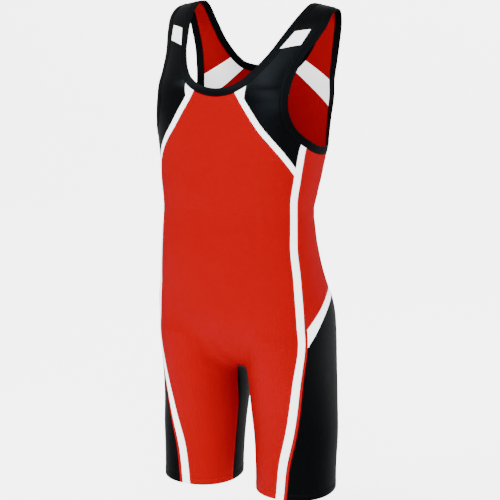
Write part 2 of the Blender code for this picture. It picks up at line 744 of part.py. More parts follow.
    # Bindings
    shares = (0.0, 0.22, 0.78, 1.0)
    girths = (BINDING_SIDES, BINDING, BINDING, BINDING_SIDES)
    bound = {"thickness": girths}
    neck_front = np.concatenate([neck_marks["front"], neck_marks["flare"][1:],
                                 neck_marks["front_strap"][1:]])
    neck_back = np.concatenate([neck_marks["back_strap"], neck_marks["back_band"][1:],
                                neck_marks["back"][1:]])
    for name, marks in (("neck_binding_front", neck_front), ("neck_binding_back", neck_back)):
        wall(name, strip(spot(neck, marks), spot(line["neck_edge"], marks), shares), BLACK,
             across=True, **bound)
    arm_front = np.concatenate([arm_marks["front"], arm_marks["stripe"][1:],
                                arm_marks["side"][1:]])
    arm_back = np.concatenate([arm_marks["back"], arm_marks["band"][1:],
                               arm_marks["back_strap"][1:]])
    for name, marks in (("armhole_binding_front", arm_front), ("armhole_binding_back", arm_back)):
        pair(name, strip(spot(armhole, marks), spot(line["armhole_edge"], marks), shares),
             BLACK, **bound)

    # Bare patches on the front straps
    corners = settled(np.array(STRAP_PATCH))
    patch = panel(np.linspace(corners[0], corners[1], 4), np.linspace(corners[2], corners[3], 4),
                  np.linspace(corners[0], corners[2], 4), np.linspace(corners[1], corners[3], 4),
                  math.pi / 2)
    pair("strap_patch", settled(patch), WHITE, thickness=PATCH,
         lift=(CLOTH + PATCH) / 2 + SEAM_GAP, trim=False)


def middle(top, bottom, steps):
    """Evenly spaced points down the middle of the front or back."""
    line = np.linspace(top, bottom, FINE)
    for _ in range(3):
        line = settled(line)
    line[:, 0] = 0.0
    line[0], line[-1] = top, bottom
    return stretch(line, 0, FINE - 1, steps)


def hem(first, second, steps, turn=0.0):
    """The hem's points between the ends of two seams."""
    ends = unrolled(np.array([first[-1], second[-1]]), turn)
    ends[:, 2] = HEM
    return settled(rolled(np.linspace(ends[0], ends[1], steps + 1)))


for old in list(bpy.data.objects):
    bpy.data.objects.remove(old, do_unlink=True)
build()
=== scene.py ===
"""Wrestling singlet, filled out as if worn: its cloth, seams, bindings and light.

Metres, +Z up. The front faces -Y and the wearer's left is +X.
"""

import math

import bmesh
import bpy
import numpy as np
from mathutils import Matrix, Vector


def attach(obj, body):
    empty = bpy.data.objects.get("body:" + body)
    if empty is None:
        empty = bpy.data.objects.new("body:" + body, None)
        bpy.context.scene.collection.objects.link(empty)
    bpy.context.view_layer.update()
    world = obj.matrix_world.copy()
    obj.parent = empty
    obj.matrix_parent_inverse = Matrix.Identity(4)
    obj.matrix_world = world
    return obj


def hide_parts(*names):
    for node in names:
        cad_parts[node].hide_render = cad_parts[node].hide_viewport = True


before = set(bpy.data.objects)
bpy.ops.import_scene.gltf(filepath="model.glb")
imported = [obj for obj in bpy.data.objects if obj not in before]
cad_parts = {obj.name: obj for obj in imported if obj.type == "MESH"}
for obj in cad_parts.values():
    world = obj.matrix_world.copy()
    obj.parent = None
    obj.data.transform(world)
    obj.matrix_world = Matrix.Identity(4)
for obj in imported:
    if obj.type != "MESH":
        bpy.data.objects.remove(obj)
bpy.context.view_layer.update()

# The worn form: stretch knit keeps to the body that it was cut for, a torso that divides into
# two legs. Every piece lies on this one smooth form, between seam lines that are laid on it.
# The same values and functions shape the CAD's solids.
FULL_TURN = 2 * math.pi
FINE = 600
SETTLE_ROUNDS, SETTLE_REACH = 8, 0.004
HUB_START, HUB_MOVE = -0.50, 0.16

# Lengths that set the garment's size
HEM = -0.856
CHEST_STRIPE = 0.0095
CHEST_STRIPE_FLARE = 0.0230
CHEST_FLARE_SHARE = 0.10
SIDE_STRIPE = 0.0145
PIPING = 0.0060
BINDING_WIDTH = 0.0125

# The torso closes over the shoulders and under the seat
SHOULDER_START = -0.043
SHOULDER_TOP = 0.004
SEAT_START = -0.500
SEAT_BOTTOM = -0.636
LEG_START = -0.623
LEG_TOP = -0.470
SHOULDER_CLOSING = 3.0
SEAT_CLOSING = 2.2
LEG_SQUARENESS = 2.15
BLEND = 15.0

# Torso sections, from the bottom up
# height, half width, middle, front, back, squareness
TORSO = np.array([
    (-0.613, 0.153, 0.000, -0.1135, 0.1065, 2.3),
    (-0.572, 0.155, -0.005, -0.1205, 0.102, 2.3),
    (-0.521, 0.154, -0.018, -0.131, 0.087, 2.3),
    (-0.475, 0.1475, -0.029, -0.1375, 0.074, 2.3),
    (-0.435, 0.142, -0.039, -0.141, 0.060, 2.3),
    (-0.387, 0.1355, -0.045, -0.1425, 0.047, 2.35),
    (-0.341, 0.132, -0.0425, -0.142, 0.0435, 2.4),
    (-0.298, 0.1375, -0.0335, -0.1435, 0.0555, 2.45),
    (-0.253, 0.142, -0.0235, -0.144, 0.073, 2.5),
    (-0.202, 0.149, -0.0165, -0.143, 0.0865, 2.6),
    (-0.157, 0.1565, -0.004, -0.1405, 0.085, 2.8),
    (-0.130, 0.153, 0.014, -0.139, 0.081, 2.8),
    (-0.113, 0.1525, 0.031, -0.1305, 0.078, 2.75),
    (-0.085, 0.158, 0.045, -0.1065, 0.0735, 2.7),
    (-0.055, 0.163, 0.048, -0.0745, 0.068, 2.8),
    (-0.040, 0.1625, 0.047, -0.0565, 0.065, 3.0),
    (-0.020, 0.167, 0.040, -0.032, 0.061, 3.0),
    (-0.001, 0.175, 0.032, -0.008, 0.055, 3.0),
])

# Leg sections, from the bottom up
# height, centre x, centre y, half width, half depth
LEG = np.array([
    (-0.856, 0.092, -0.001, 0.0695, 0.0735),
    (-0.812, 0.0915, 0.000, 0.070, 0.075),
    (-0.757, 0.0905, 0.002, 0.072, 0.0795),
    (-0.702, 0.0865, 0.003, 0.0725, 0.0895),
    (-0.623, 0.084, -0.001, 0.0705, 0.105),
    (-0.560, 0.084, -0.008, 0.0705, 0.110),
])

# Seam lines on the wearer's left: x, y, z, all laid on the form afterwards
NECK_EDGE = (
    (0.000, -0.1395, -0.131),
    (0.0255, -0.1395, -0.126),
    (0.045, -0.133, -0.1155),
    (0.060, -0.117, -0.100),
    (0.070, -0.101, -0.085),
    (0.078, -0.0865, -0.070),
    (0.084, -0.0695, -0.055),
    (0.090, -0.0515, -0.040),
    (0.0955, -0.0325, -0.025),
    (0.100, -0.012, -0.010),
    (0.1025, 0.008, -0.001),
    (0.1035, 0.028, 0.001),
    (0.101, 0.045, -0.010),
    (0.0955, 0.057, -0.029),
    (0.0875, 0.066, -0.048),
    (0.0815, 0.0675, -0.062),
    (0.0693, 0.0715, -0.0815),
    (0.0544, 0.0745, -0.099),
    (0.046, 0.076, -0.1055),
    (0.031, 0.077, -0.110),
    (0.000, 0.0775, -0.1115),
)
ARMHOLE_EDGE = (
    (0.1481, 0.0407, -0.0102),
    (0.1505, 0.032, -0.003),
    (0.149, 0.012, -0.012),
    (0.1455, -0.001, -0.025),
    (0.1415, -0.0155, -0.040),
    (0.137, -0.031, -0.055),
    (0.131, -0.0495, -0.070),
    (0.126, -0.0675, -0.085),
    (0.123, -0.081, -0.101),
    (0.1205, -0.0975, -0.121),
    (0.120, -0.1105, -0.145),
    (0.1215, -0.1125, -0.165),
    (0.1255, -0.1045, -0.186),
    (0.1355, -0.064, -0.219),
    (0.143, -0.010, -0.235),
    (0.140, 0.0345, -0.229),
    (0.1315, 0.053, -0.190),
    (0.1325, 0.0585, -0.140),
    (0.135, 0.062, -0.108),
    (0.1385, 0.0645, -0.080),
    (0.1425, 0.063, -0.055),
    (0.1455, 0.060, -0.035),
    (0.148, 0.048, -0.012),
)
SHOULDER = (0.1032, 0.036, 0.0004)
CHEST_LINE = (
    (0.0285, -0.1385, -0.119),
    (0.0375, -0.1385, -0.137),
    (0.0465, -0.138, -0.153),
    (0.0588, -0.1375, -0.172),
    (0.0757, -0.1335, -0.198),
    (0.0966, -0.124, -0.225),
    (0.1105, -0.1125, -0.246),
    (0.1236, -0.0945, -0.273),
    (0.1325, -0.083, -0.291),
)
SIDE_LINE = (
    (0.139, -0.0685, -0.200),
    (0.134, -0.0815, -0.230),
    (0.130, -0.0845, -0.2555),
    (0.1265, -0.088, -0.2835),
    (0.1226, -0.091, -0.3155),
    (0.122, -0.0895, -0.340),
    (0.1242, -0.093, -0.405),
    (0.1287, -0.090, -0.448),
    (0.133, -0.086, -0.5215),
    (0.131, -0.0805, -0.574),
    (0.127, -0.0835, -0.629),
    (0.1112, -0.0755, -0.731),
    (0.0985, -0.0725, -0.789),
    (0.0918, -0.071, -0.856),
    (0.0885, -0.071, -0.882),
)
HIP_BAND_TOP = (
    (0.1315, -0.0835, -0.5545),
    (0.1415, -0.0725, -0.5395),
    (0.1528, -0.0539, -0.520),
    (0.1557, -0.0299, -0.5025),
    (0.1526, -0.0065, -0.4905),
    (0.1475, 0.016, -0.4845),
    (0.1355, 0.045, -0.479),
    (0.1125, 0.0665, -0.475),
    (0.0985, 0.0735, -0.474),
)
HIP_BAND_BOTTOM = (
    (0.130, -0.082, -0.589),
    (0.1408, -0.0702, -0.572),
    (0.1523, -0.0516, -0.5505),
    (0.1586, -0.029, -0.5255),
    (0.1568, 0.0, -0.5065),
    (0.151, 0.0235, -0.500),
    (0.140, 0.0505, -0.4955),
    (0.1155, 0.0705, -0.491),
    (0.1005, 0.0785, -0.490),
)
SIDE_BACK_LINE = (
    (0.1355, 0.0395, -0.209),
    (0.127, 0.0455, -0.239),
    (0.1185, 0.0515, -0.267),
    (0.112, 0.0415, -0.301),
    (0.106, 0.0325, -0.341),
    (0.1095, 0.033, -0.387),
    (0.114, 0.045, -0.435),
    (0.1195, 0.057, -0.475),
    (0.127, 0.0705, -0.521),
    (0.1325, 0.081, -0.572),
    (0.136, 0.076, -0.623),
    (0.135, 0.0595, -0.706),
    (0.130, 0.0515, -0.791),
    (0.1275, 0.0485, -0.856),
    (0.127, 0.049, -0.882),
)
BACK_BAND_TOP = (
    (0.050, 0.0765, -0.086),
    (0.0655, 0.074, -0.096),
    (0.0785, 0.0735, -0.104),
    (0.1025, 0.0715, -0.119),
    (0.1225, 0.065, -0.1315),
    (0.1415, 0.058, -0.142),
)
BACK_BAND_BOTTOM = (
    (0.036, 0.079, -0.107),
    (0.0491, 0.0795, -0.1185),
    (0.0593, 0.078, -0.1275),
    (0.0789, 0.0785, -0.144),
    (0.0968, 0.0755, -0.1585),
    (0.1138, 0.068, -0.1715),
    (0.132, 0.059, -0.184),
)
GUSSET_FRONT = (
    (0.000, -0.043, -0.621),
    (0.0055, -0.038, -0.625),
    (0.0098, -0.030, -0.6335),
    (0.0132, -0.0245, -0.645),
    (0.0155, -0.022, -0.664),
    (0.017, -0.0165, -0.705),
    (0.020, -0.016, -0.764),
    (0.024, -0.0205, -0.833),
    (0.0255, -0.022, -0.856),
    (0.027, -0.023, -0.882),
)
GUSSET_BACK = (
    (0.000, 0.0865, -0.613),
    (0.012, 0.0815, -0.619),
    (0.0205, 0.066, -0.644),
    (0.0275, 0.056, -0.685),
    (0.033, 0.0495, -0.770),
    (0.0375, 0.0465, -0.856),
    (0.0375, 0.0465, -0.882),
)
CROTCH_LINE = (
    (0.000, -0.043, -0.621),
    (0.000, -0.012, -0.645),
    (0.000, 0.0305, -0.659),
    (0.000, 0.066, -0.644),
    (0.000, 0.0865, -0.613),
)
STRAP_PATCH = (
    (0.1045, -0.0488, -0.0422),
    (0.1268, -0.0351, -0.0391),
    (0.0905, -0.0784, -0.0690),
    (0.1192, -0.0585, -0.0629),
)


def eased(table, at):
    """A table's further columns at given values of its first, on a smooth curve."""
    keys, values = table[:, 0], table[:, 1:]
    slopes = np.gradient(values, keys, axis=0)
    row = np.clip(np.searchsorted(keys, at) - 1, 0, len(keys) - 2)
    span = (keys[row + 1] - keys[row])[:, None]
    t = np.clip((at - keys[row])[:, None] / span, 0.0, 1.0)
    start = (1 + 2 * t) * (1 - t) ** 2 * values[row] + t * (1 - t) ** 2 * span * slopes[row]
    end = t ** 2 * (3 - 2 * t) * values[row + 1] - t ** 2 * (1 - t) * span * slopes[row + 1]
    return start + end


def rounded(amounts, power):
    """Joins radii to one, as the axes of a superellipse are."""
    return sum(np.abs(amount) ** power for amount in amounts) ** (1 / power)


def form(points):
    """1 on the body's surface, less inside it and more outside."""
    x, y, z = points.T
    wide, middle, front, back, square = eased(TORSO, z).T
    deep = np.where(y < middle, middle - front, back - middle)
    rise = np.clip((z - SHOULDER_START) / (SHOULDER_TOP - SHOULDER_START), 0, None)
    drop = np.clip((SEAT_START - z) / (SEAT_START - SEAT_BOTTOM), 0, None)
    girth = rounded((x / wide, (y - middle) / deep), square)
    forms = [rounded((rounded((girth, rise), SHOULDER_CLOSING), drop), SEAT_CLOSING)]
    centre_x, centre_y, wide, deep = eased(LEG, z).T
    rise = np.clip((z - LEG_START) / (LEG_TOP - LEG_START), 0, None)
    for side in (1, -1):
        girth = rounded(((x - side * centre_x) / wide, (y - centre_y) / deep), LEG_SQUARENESS)
        forms.append(rounded((girth, rise), SHOULDER_CLOSING))
    return -np.log(sum(np.exp(-BLEND * part) for part in forms)) / BLEND


def slope(points):
    """The form's gradient, which points straight out of the cloth."""
    step = 1e-4
    columns = []
    for axis in np.eye(3) * step:
        columns.append((form(points + axis) - form(points - axis)) / (2 * step))
    return np.column_stack(columns)


def outward(points):
    """Unit vectors straight out of the cloth."""
    flat = slope(points.reshape(-1, 3))
    return (flat / np.linalg.norm(flat, axis=1)[:, None]).reshape(points.shape)


def settled(points):
    """Points moved on to the form along its gradient."""
    flat = points.reshape(-1, 3).copy()
    for _ in range(SETTLE_ROUNDS):
        steep = slope(flat)
        lack = (form(flat) - 1.0) / np.maximum((steep ** 2).sum(axis=1), 1e-6)
        flat -= np.clip(lack, -SETTLE_REACH, SETTLE_REACH)[:, None] * steep
    return flat.reshape(points.shape)


def line_through(rows, closed=False):
    """A smooth line on the form; one that starts or ends at x = 0 crosses it square."""
    points = np.array(rows, dtype=float)
    flip = np.array([-1.0, 1.0, 1.0])
    head = tail = points[:0]
    if closed:
        head, tail = points[-3:], points[:4]
    if not closed and points[0, 0] == 0:
        head = points[2:0:-1] * flip
    if not closed and points[-1, 0] == 0:
        tail = points[-2:-4:-1] * flip
    first = len(head)
    last = first + len(points) - (0 if closed else 1)
    points = np.vstack([head, points, tail])
    along = np.concatenate([[0], np.cumsum(np.linalg.norm(np.diff(points, axis=0), axis=1))])
    table = np.column_stack([along, points])
    line = eased(table, np.linspace(along[first], along[last], FINE))
    return settled(line)


def shifted(line, distance):
    """The line moved sideways over the form, to its left as seen from outside."""
    ahead = np.gradient(line, axis=0)
    if np.allclose(line[0], line[-1], atol=1e-5):
        ahead[0] = ahead[-1] = line[1] - line[-2]
    side = np.cross(outward(line), ahead)
    side /= np.linalg.norm(side, axis=1)[:, None]
    moved = settled(line + side * distance)
    on_middle = np.abs(line[:, 0]) < 1e-9
    moved[on_middle, 0] = 0.0
    return moved


def spot(line, marks):
    """Points of a line at marks, which count its fine points."""
    whole = np.arange(len(line))
    marks = np.atleast_1d(marks)
    return np.column_stack([np.interp(marks, whole, line[:, axis]) for axis in range(3)])


def even(line, start, end, steps):
    """Marks that part a stretch of a line into equal steps."""
    fine = np.linspace(start, end, FINE)
    pieces = np.linalg.norm(np.diff(spot(line, fine), axis=0), axis=1)
    run = np.concatenate([[0], np.cumsum(pieces)])
    return np.interp(np.linspace(0, run[-1], steps + 1), run, fine)


def stretch(line, start, end, steps):
    """Evenly spaced points of a line between two marks."""
    return spot(line, even(line, start, end, steps))


def meeting(first, second):
    """The marks at which two lines cross or come closest."""
    spans = [(0, len(first) - 1), (0, len(second) - 1)]
    count = 160
    for _ in range(4):
        one, two = np.linspace(*spans[0], count), np.linspace(*spans[1], count)
        gaps = spot(first, one)[:, None] - spot(second, two)[None]
        i, j = np.unravel_index(np.linalg.norm(gaps, axis=2).argmin(), (count, count))
        spans = [(one[max(i - 2, 0)], one[min(i + 2, count - 1)]),
                 (two[max(j - 2, 0)], two[min(j + 2, count - 1)])]
    return one[i], two[j]


def at_height(line, height):
    """The mark at which a line that runs down passes a height."""
    return np.interp(-height, -line[:, 2], np.arange(len(line)))


def joined(*stretches):
    """Stretches end to end, with each shared point kept once."""
    return np.vstack([stretches[0]] + [part[1:] for part in stretches[1:]])


def hub(z):
    """The middle of the torso, moving over to the middle of the leg below it."""
    torso, leg = eased(TORSO, z), eased(LEG, z)
    t = np.clip((HUB_START - z) / HUB_MOVE, 0, 1)
    t = t * t * (3 - 2 * t)
    return t * leg[:, 0], (1 - t) * torso[:, 1] + t * leg[:, 1]


def unrolled(points, turn):
    """Angle from the front, radius and height round the hub; turn picks the range."""
    centre_x, centre_y = hub(points[:, 2])
    x, y = points[:, 0] - centre_x, points[:, 1] - centre_y
    angle = np.arctan2(x, -y)
    angle = (angle - turn + math.pi) % FULL_TURN + turn - math.pi
    return np.column_stack([angle, np.hypot(x, y), points[:, 2]])


def rolled(places):
    """Points from their angle, radius and height."""
    centre_x, centre_y = hub(places[:, 2])
    x = centre_x + places[:, 1] * np.sin(places[:, 0])
    y = centre_y - places[:, 1] * np.cos(places[:, 0])
    return np.column_stack([x, y, places[:, 2]])


def panel(top, bottom, left, right, turn=0.0):
    """A four-sided piece's points, blended from its sides and laid on the form."""
    sides = [unrolled(side, turn) for side in (top, bottom, left, right)]
    across = np.linspace(0, 1, len(top))[None, :, None]
    down = np.linspace(0, 1, len(left))[:, None, None]
    upper, lower = sides[0][None], sides[1][None]
    near, far = sides[2][:, None], sides[3][:, None]
    grid = (1 - down) * upper + down * lower + (1 - across) * near + across * far
    grid -= (1 - across) * ((1 - down) * upper[:, :1] + down * lower[:, :1])
    grid -= across * ((1 - down) * upper[:, -1:] + down * lower[:, -1:])
    grid = settled(rolled(grid.reshape(-1, 3)).reshape(grid.shape))
    grid[0], grid[-1], grid[:, 0], grid[:, -1] = top, bottom, left, right
    return grid


def strip(first, second, shares=(0.0, 1.0), held=True):
    """A long piece between two lines, with points at the given shares of its width."""
    rows = [first + (second - first) * share for share in shares]
    grid = settled(np.stack(rows, axis=1))
    if held:
        grid[:, 0], grid[:, -1] = first, second
    return grid


def flipped(grid):
    """The same piece on the wearer's right."""
    return grid * np.array([-1.0, 1.0, 1.0])


def middle(top, bottom, steps):
    """Evenly spaced points down the middle of the front or back."""
    line = np.linspace(top, bottom, FINE)
    for _ in range(3):
        line = settled(line)
    line[:, 0] = 0.0
    line[0], line[-1] = top, bottom
    return stretch(line, 0, FINE - 1, steps)


def hem(first, second, steps, turn=0.0):
    """The hem's points between the ends of two seams."""
    ends = unrolled(np.array([first[-1], second[-1]]), turn)
    ends[:, 2] = HEM
    return settled(rolled(np.linspace(ends[0], ends[1], steps + 1)))


# Seams: flatlock seams join the pieces edge to edge. These are their lines and the points along
# every stretch of them, at five times the solids' steps, and pieces that are sewn together share
# them.
FINER = 5
HEM_ROWS, HEM_ROWS_DEPTH = 8, 0.018
ACROSS_FRONT = 8 * FINER
ACROSS_BACK = 8 * FINER
ACROSS_GUSSET = 6 * FINER
ACROSS_STRAP = 4 * FINER
ACROSS_LEG_SIDE = 9 * FINER
FLARE_STEPS = FINER
FRONT_STRAP_STEPS = 11 * FINER
CHEST_STRIPE_STEPS = 8 * FINER
TIP_STEPS = FINER
SIDE_STEPS = 14 * FINER
BAND_STEPS = 2 * FINER
LEG_STEPS = 13 * FINER
GUSSET_STEPS = 12 * FINER
BACK_STRAP_STEPS = 10 * FINER
BACK_BAND_STEPS = 2 * FINER
BACK_BAND_ACROSS = 4 * FINER
BACK_ARMHOLE_STEPS = 4 * FINER
STRIPE_SHARES = np.linspace(0, 1, 5)
FLARE_SEARCH = 60

neck_edge, armhole_edge = line_through(NECK_EDGE), line_through(ARMHOLE_EDGE, closed=True)
chest, side_middle = line_through(CHEST_LINE), line_through(SIDE_LINE)
hip_top, hip_bottom = line_through(HIP_BAND_TOP), line_through(HIP_BAND_BOTTOM)
side_back = line_through(SIDE_BACK_LINE)
band_top, band_bottom = line_through(BACK_BAND_TOP), line_through(BACK_BAND_BOTTOM)
gusset_front_line, gusset_back_line = line_through(GUSSET_FRONT), line_through(GUSSET_BACK)
crotch_line = line_through(CROTCH_LINE)
neck, armhole = shifted(neck_edge, -BINDING_WIDTH), shifted(armhole_edge, -BINDING_WIDTH)
chest_far = shifted(chest, CHEST_STRIPE)
inner, outer = shifted(side_middle, -SIDE_STRIPE / 2), shifted(side_middle, SIDE_STRIPE / 2)
piping = shifted(side_middle, SIDE_STRIPE / 2 + PIPING)
last = FINE - 1

# Where the seams meet along the neck and the armhole, which runs from the shoulder down
neck_flare, chest_start = meeting(neck, chest)
run = even(neck, neck_flare, neck_flare + FLARE_SEARCH, FLARE_SEARCH)
lengths = np.cumsum(np.linalg.norm(np.diff(spot(neck, run), axis=0), axis=1))
neck_tip = run[1 + int(np.argmin(np.abs(lengths - CHEST_STRIPE_FLARE)))]
neck_shoulder = float(np.linalg.norm(neck_edge - SHOULDER, axis=1).argmin())
neck_band_top, band_top_start = meeting(neck, band_top)
neck_band_bottom, band_bottom_start = meeting(neck, band_bottom)
arm_inner, inner_start = meeting(armhole, inner)
arm_outer, outer_start = meeting(armhole, outer)
arm_seam, seam_start = meeting(armhole, side_back)
arm_band_bottom, band_bottom_end = meeting(armhole, band_bottom)
arm_band_top, band_top_end = meeting(armhole, band_top)

# Where they meet down the side
inner_upper, chest_far_end = meeting(inner, chest_far)
inner_lower, chest_end = meeting(inner, chest)
outer_hip_top, hip_top_start = meeting(outer, hip_top)
outer_hip_bottom, hip_bottom_start = meeting(outer, hip_bottom)
piping_top, hip_top_piping = meeting(piping, hip_top)
piping_bend, hip_bottom_piping = meeting(piping, hip_bottom)
seam_hip_top, hip_top_end = meeting(side_back, hip_top)
seam_hip_bottom, hip_bottom_end = meeting(side_back, hip_bottom)


def other(line_from, mark, line_to):
    """The mark on another line at the same height."""
    return at_height(line_to, spot(line_from, mark)[0, 2])


def down_leg(line, start, steps):
    """A seam's points down to the hem, with closer rows in the hem."""
    fold = at_height(line, HEM + HEM_ROWS_DEPTH)
    return joined(stretch(line, start, fold, steps),
                  stretch(line, fold, at_height(line, HEM), HEM_ROWS))


neck_marks = {
    "front": even(neck, 0, neck_flare, ACROSS_FRONT),
    "flare": even(neck, neck_flare, neck_tip, FLARE_STEPS),
    "front_strap": even(neck, neck_tip, neck_shoulder, FRONT_STRAP_STEPS),
    "back_strap": even(neck, neck_shoulder, neck_band_top, BACK_STRAP_STEPS),
    "back_band": even(neck, neck_band_top, neck_band_bottom, BACK_BAND_STEPS),
    "back": even(neck, neck_band_bottom, last, ACROSS_BACK),
}
across_side = ACROSS_LEG_SIDE + FINER
arm_marks = {
    "front": even(armhole, 0, arm_inner, FRONT_STRAP_STEPS + CHEST_STRIPE_STEPS),
    "stripe": even(armhole, arm_inner, arm_outer, len(STRIPE_SHARES) - 1),
    "side": even(armhole, arm_outer, arm_seam, across_side),
    "back": even(armhole, arm_seam, arm_band_bottom, BACK_ARMHOLE_STEPS),
    "band": even(armhole, arm_band_bottom, arm_band_top, BACK_BAND_STEPS),
    "back_strap": even(armhole, arm_band_top, last, BACK_STRAP_STEPS),
}
at_neck = {name: spot(neck, marks) for name, marks in neck_marks.items()}
at_arm = {name: spot(armhole, marks) for name, marks in arm_marks.items()}

# Side seams, from the armhole to the hem
side_upper = ACROSS_STRAP
side_top = side_upper + TIP_STEPS
side_end = side_top + SIDE_STEPS
band_end = side_end + BAND_STEPS
hip_inner_top = other(outer, outer_hip_top, inner)
hip_inner_bottom = other(outer, outer_hip_bottom, inner)
stripe_inner = joined(
    stretch(inner, inner_start, inner_upper, side_upper),
    stretch(inner, inner_upper, inner_lower, TIP_STEPS),
    stretch(inner, inner_lower, hip_inner_top, SIDE_STEPS),
    stretch(inner, hip_inner_top, hip_inner_bottom, BAND_STEPS),
    down_leg(inner, hip_inner_bottom, LEG_STEPS),
)
outer_upper, outer_lower = other(inner, inner_upper, outer), other(inner, inner_lower, outer)
stripe_outer = joined(
    stretch(outer, outer_start, outer_upper, side_upper),
    stretch(outer, outer_upper, outer_lower, TIP_STEPS),
    stretch(outer, outer_lower, outer_hip_top, SIDE_STEPS),
    stretch(outer, outer_hip_top, outer_hip_bottom, BAND_STEPS),
    down_leg(outer, outer_hip_bottom, LEG_STEPS),
)
stripe_inner[0], stripe_outer[0] = at_arm["front"][-1], at_arm["side"][0]
seam = joined(
    stretch(side_back, seam_start, seam_hip_top, side_end),
    stretch(side_back, seam_hip_top, seam_hip_bottom, BAND_STEPS),
    down_leg(side_back, seam_hip_bottom, LEG_STEPS),
)
seam[0] = at_arm["side"][-1]

# The chest stripe's edges; the outer one flares out to the neck binding
chest_inner = stretch(chest, chest_start, chest_end, CHEST_STRIPE_STEPS)
chest_inner[0], chest_inner[-1] = at_neck["front"][-1], stripe_inner[side_top]
flare_end = chest_start + (chest_end - chest_start) * CHEST_FLARE_SHARE
chest_flare = settled(np.linspace(at_neck["flare"][-1], spot(chest_far, flare_end)[0], FINER + 1))
chest_outer = joined(chest_flare, stretch(chest_far, flare_end, chest_far_end,
                                          CHEST_STRIPE_STEPS - FINER))
chest_outer[0], chest_outer[-1] = at_neck["flare"][-1], stripe_inner[side_upper]

# Hip band, piping, back band and shoulder
hip_upper = joined(stretch(hip_top, hip_top_start, hip_top_piping, FINER),
                   stretch(hip_top, hip_top_piping, hip_top_end, ACROSS_LEG_SIDE))
hip_upper[0], hip_upper[-1] = stripe_outer[side_end], seam[side_end]
hip_lower = joined(stretch(hip_bottom, hip_bottom_start, hip_bottom_piping, FINER),
                   stretch(hip_bottom, hip_bottom_piping, hip_bottom_end, ACROSS_LEG_SIDE))
hip_lower[0], hip_lower[-1] = stripe_outer[band_end], seam[band_end]
piping_outer = joined(stretch(piping, piping_top, piping_bend, BAND_STEPS),
                      down_leg(piping, piping_bend, LEG_STEPS))
piping_outer[0], piping_outer[BAND_STEPS] = hip_upper[FINER], hip_lower[FINER]
band_upper = stretch(band_top, band_top_start, band_top_end, BACK_BAND_ACROSS)
band_upper[0], band_upper[-1] = at_neck["back_band"][0], at_arm["band"][-1]
band_lower = stretch(band_bottom, band_bottom_start, band_bottom_end, BACK_BAND_ACROSS)
band_lower[0], band_lower[-1] = at_neck["back_band"][-1], at_arm["band"][0]
shoulder = settled(np.linspace(at_neck["front_strap"][-1], at_arm["front"][0], ACROSS_STRAP + 1))
shoulder[0], shoulder[-1] = at_neck["front_strap"][-1], at_arm["front"][0]

# The gusset's edges and the middle lines above it
gusset_front = down_leg(gusset_front_line, 0, GUSSET_STEPS)
gusset_back = down_leg(gusset_back_line, 0, GUSSET_STEPS)
crotch = stretch(crotch_line, 0, last, ACROSS_GUSSET)
crotch[0], crotch[-1] = gusset_front[0], gusset_back[0]
gusset_rows = len(gusset_front) - 1
front_rows = CHEST_STRIPE_STEPS + len(stripe_inner) - side_top - 1
back_rows = BACK_BAND_ACROSS + BACK_ARMHOLE_STEPS + len(seam) - 1
middle_front = middle(at_neck["front"][0], gusset_front[0], front_rows - gusset_rows)
middle_back = middle(at_neck["back"][-1], gusset_back[0], back_rows - gusset_rows)

# Front: one piece of red knit from the neck down both legs, cut on the fold with no middle seam.
# It is a satin knit of polyester and elastane, flatlocked to its neighbours and folded up 13 mm
# at the hems. It is stretched smooth, so its creases are few, shallow and uneven.
CLOTH = 0.0014
SEAM_STEPS = (0.0004, 0.0010, 0.0019, 0.0030)
SEAM_ROUND, SEAM_DIP = 0.0011, 0.00055
HEM_FOLD, HEM_RAISE, HEM_DIP = 0.0130, 0.00030, 0.00045
FOLD_EDGE, FOLD_GROOVE = 0.0012, 0.0013
SHARP_EDGE = math.radians(50)

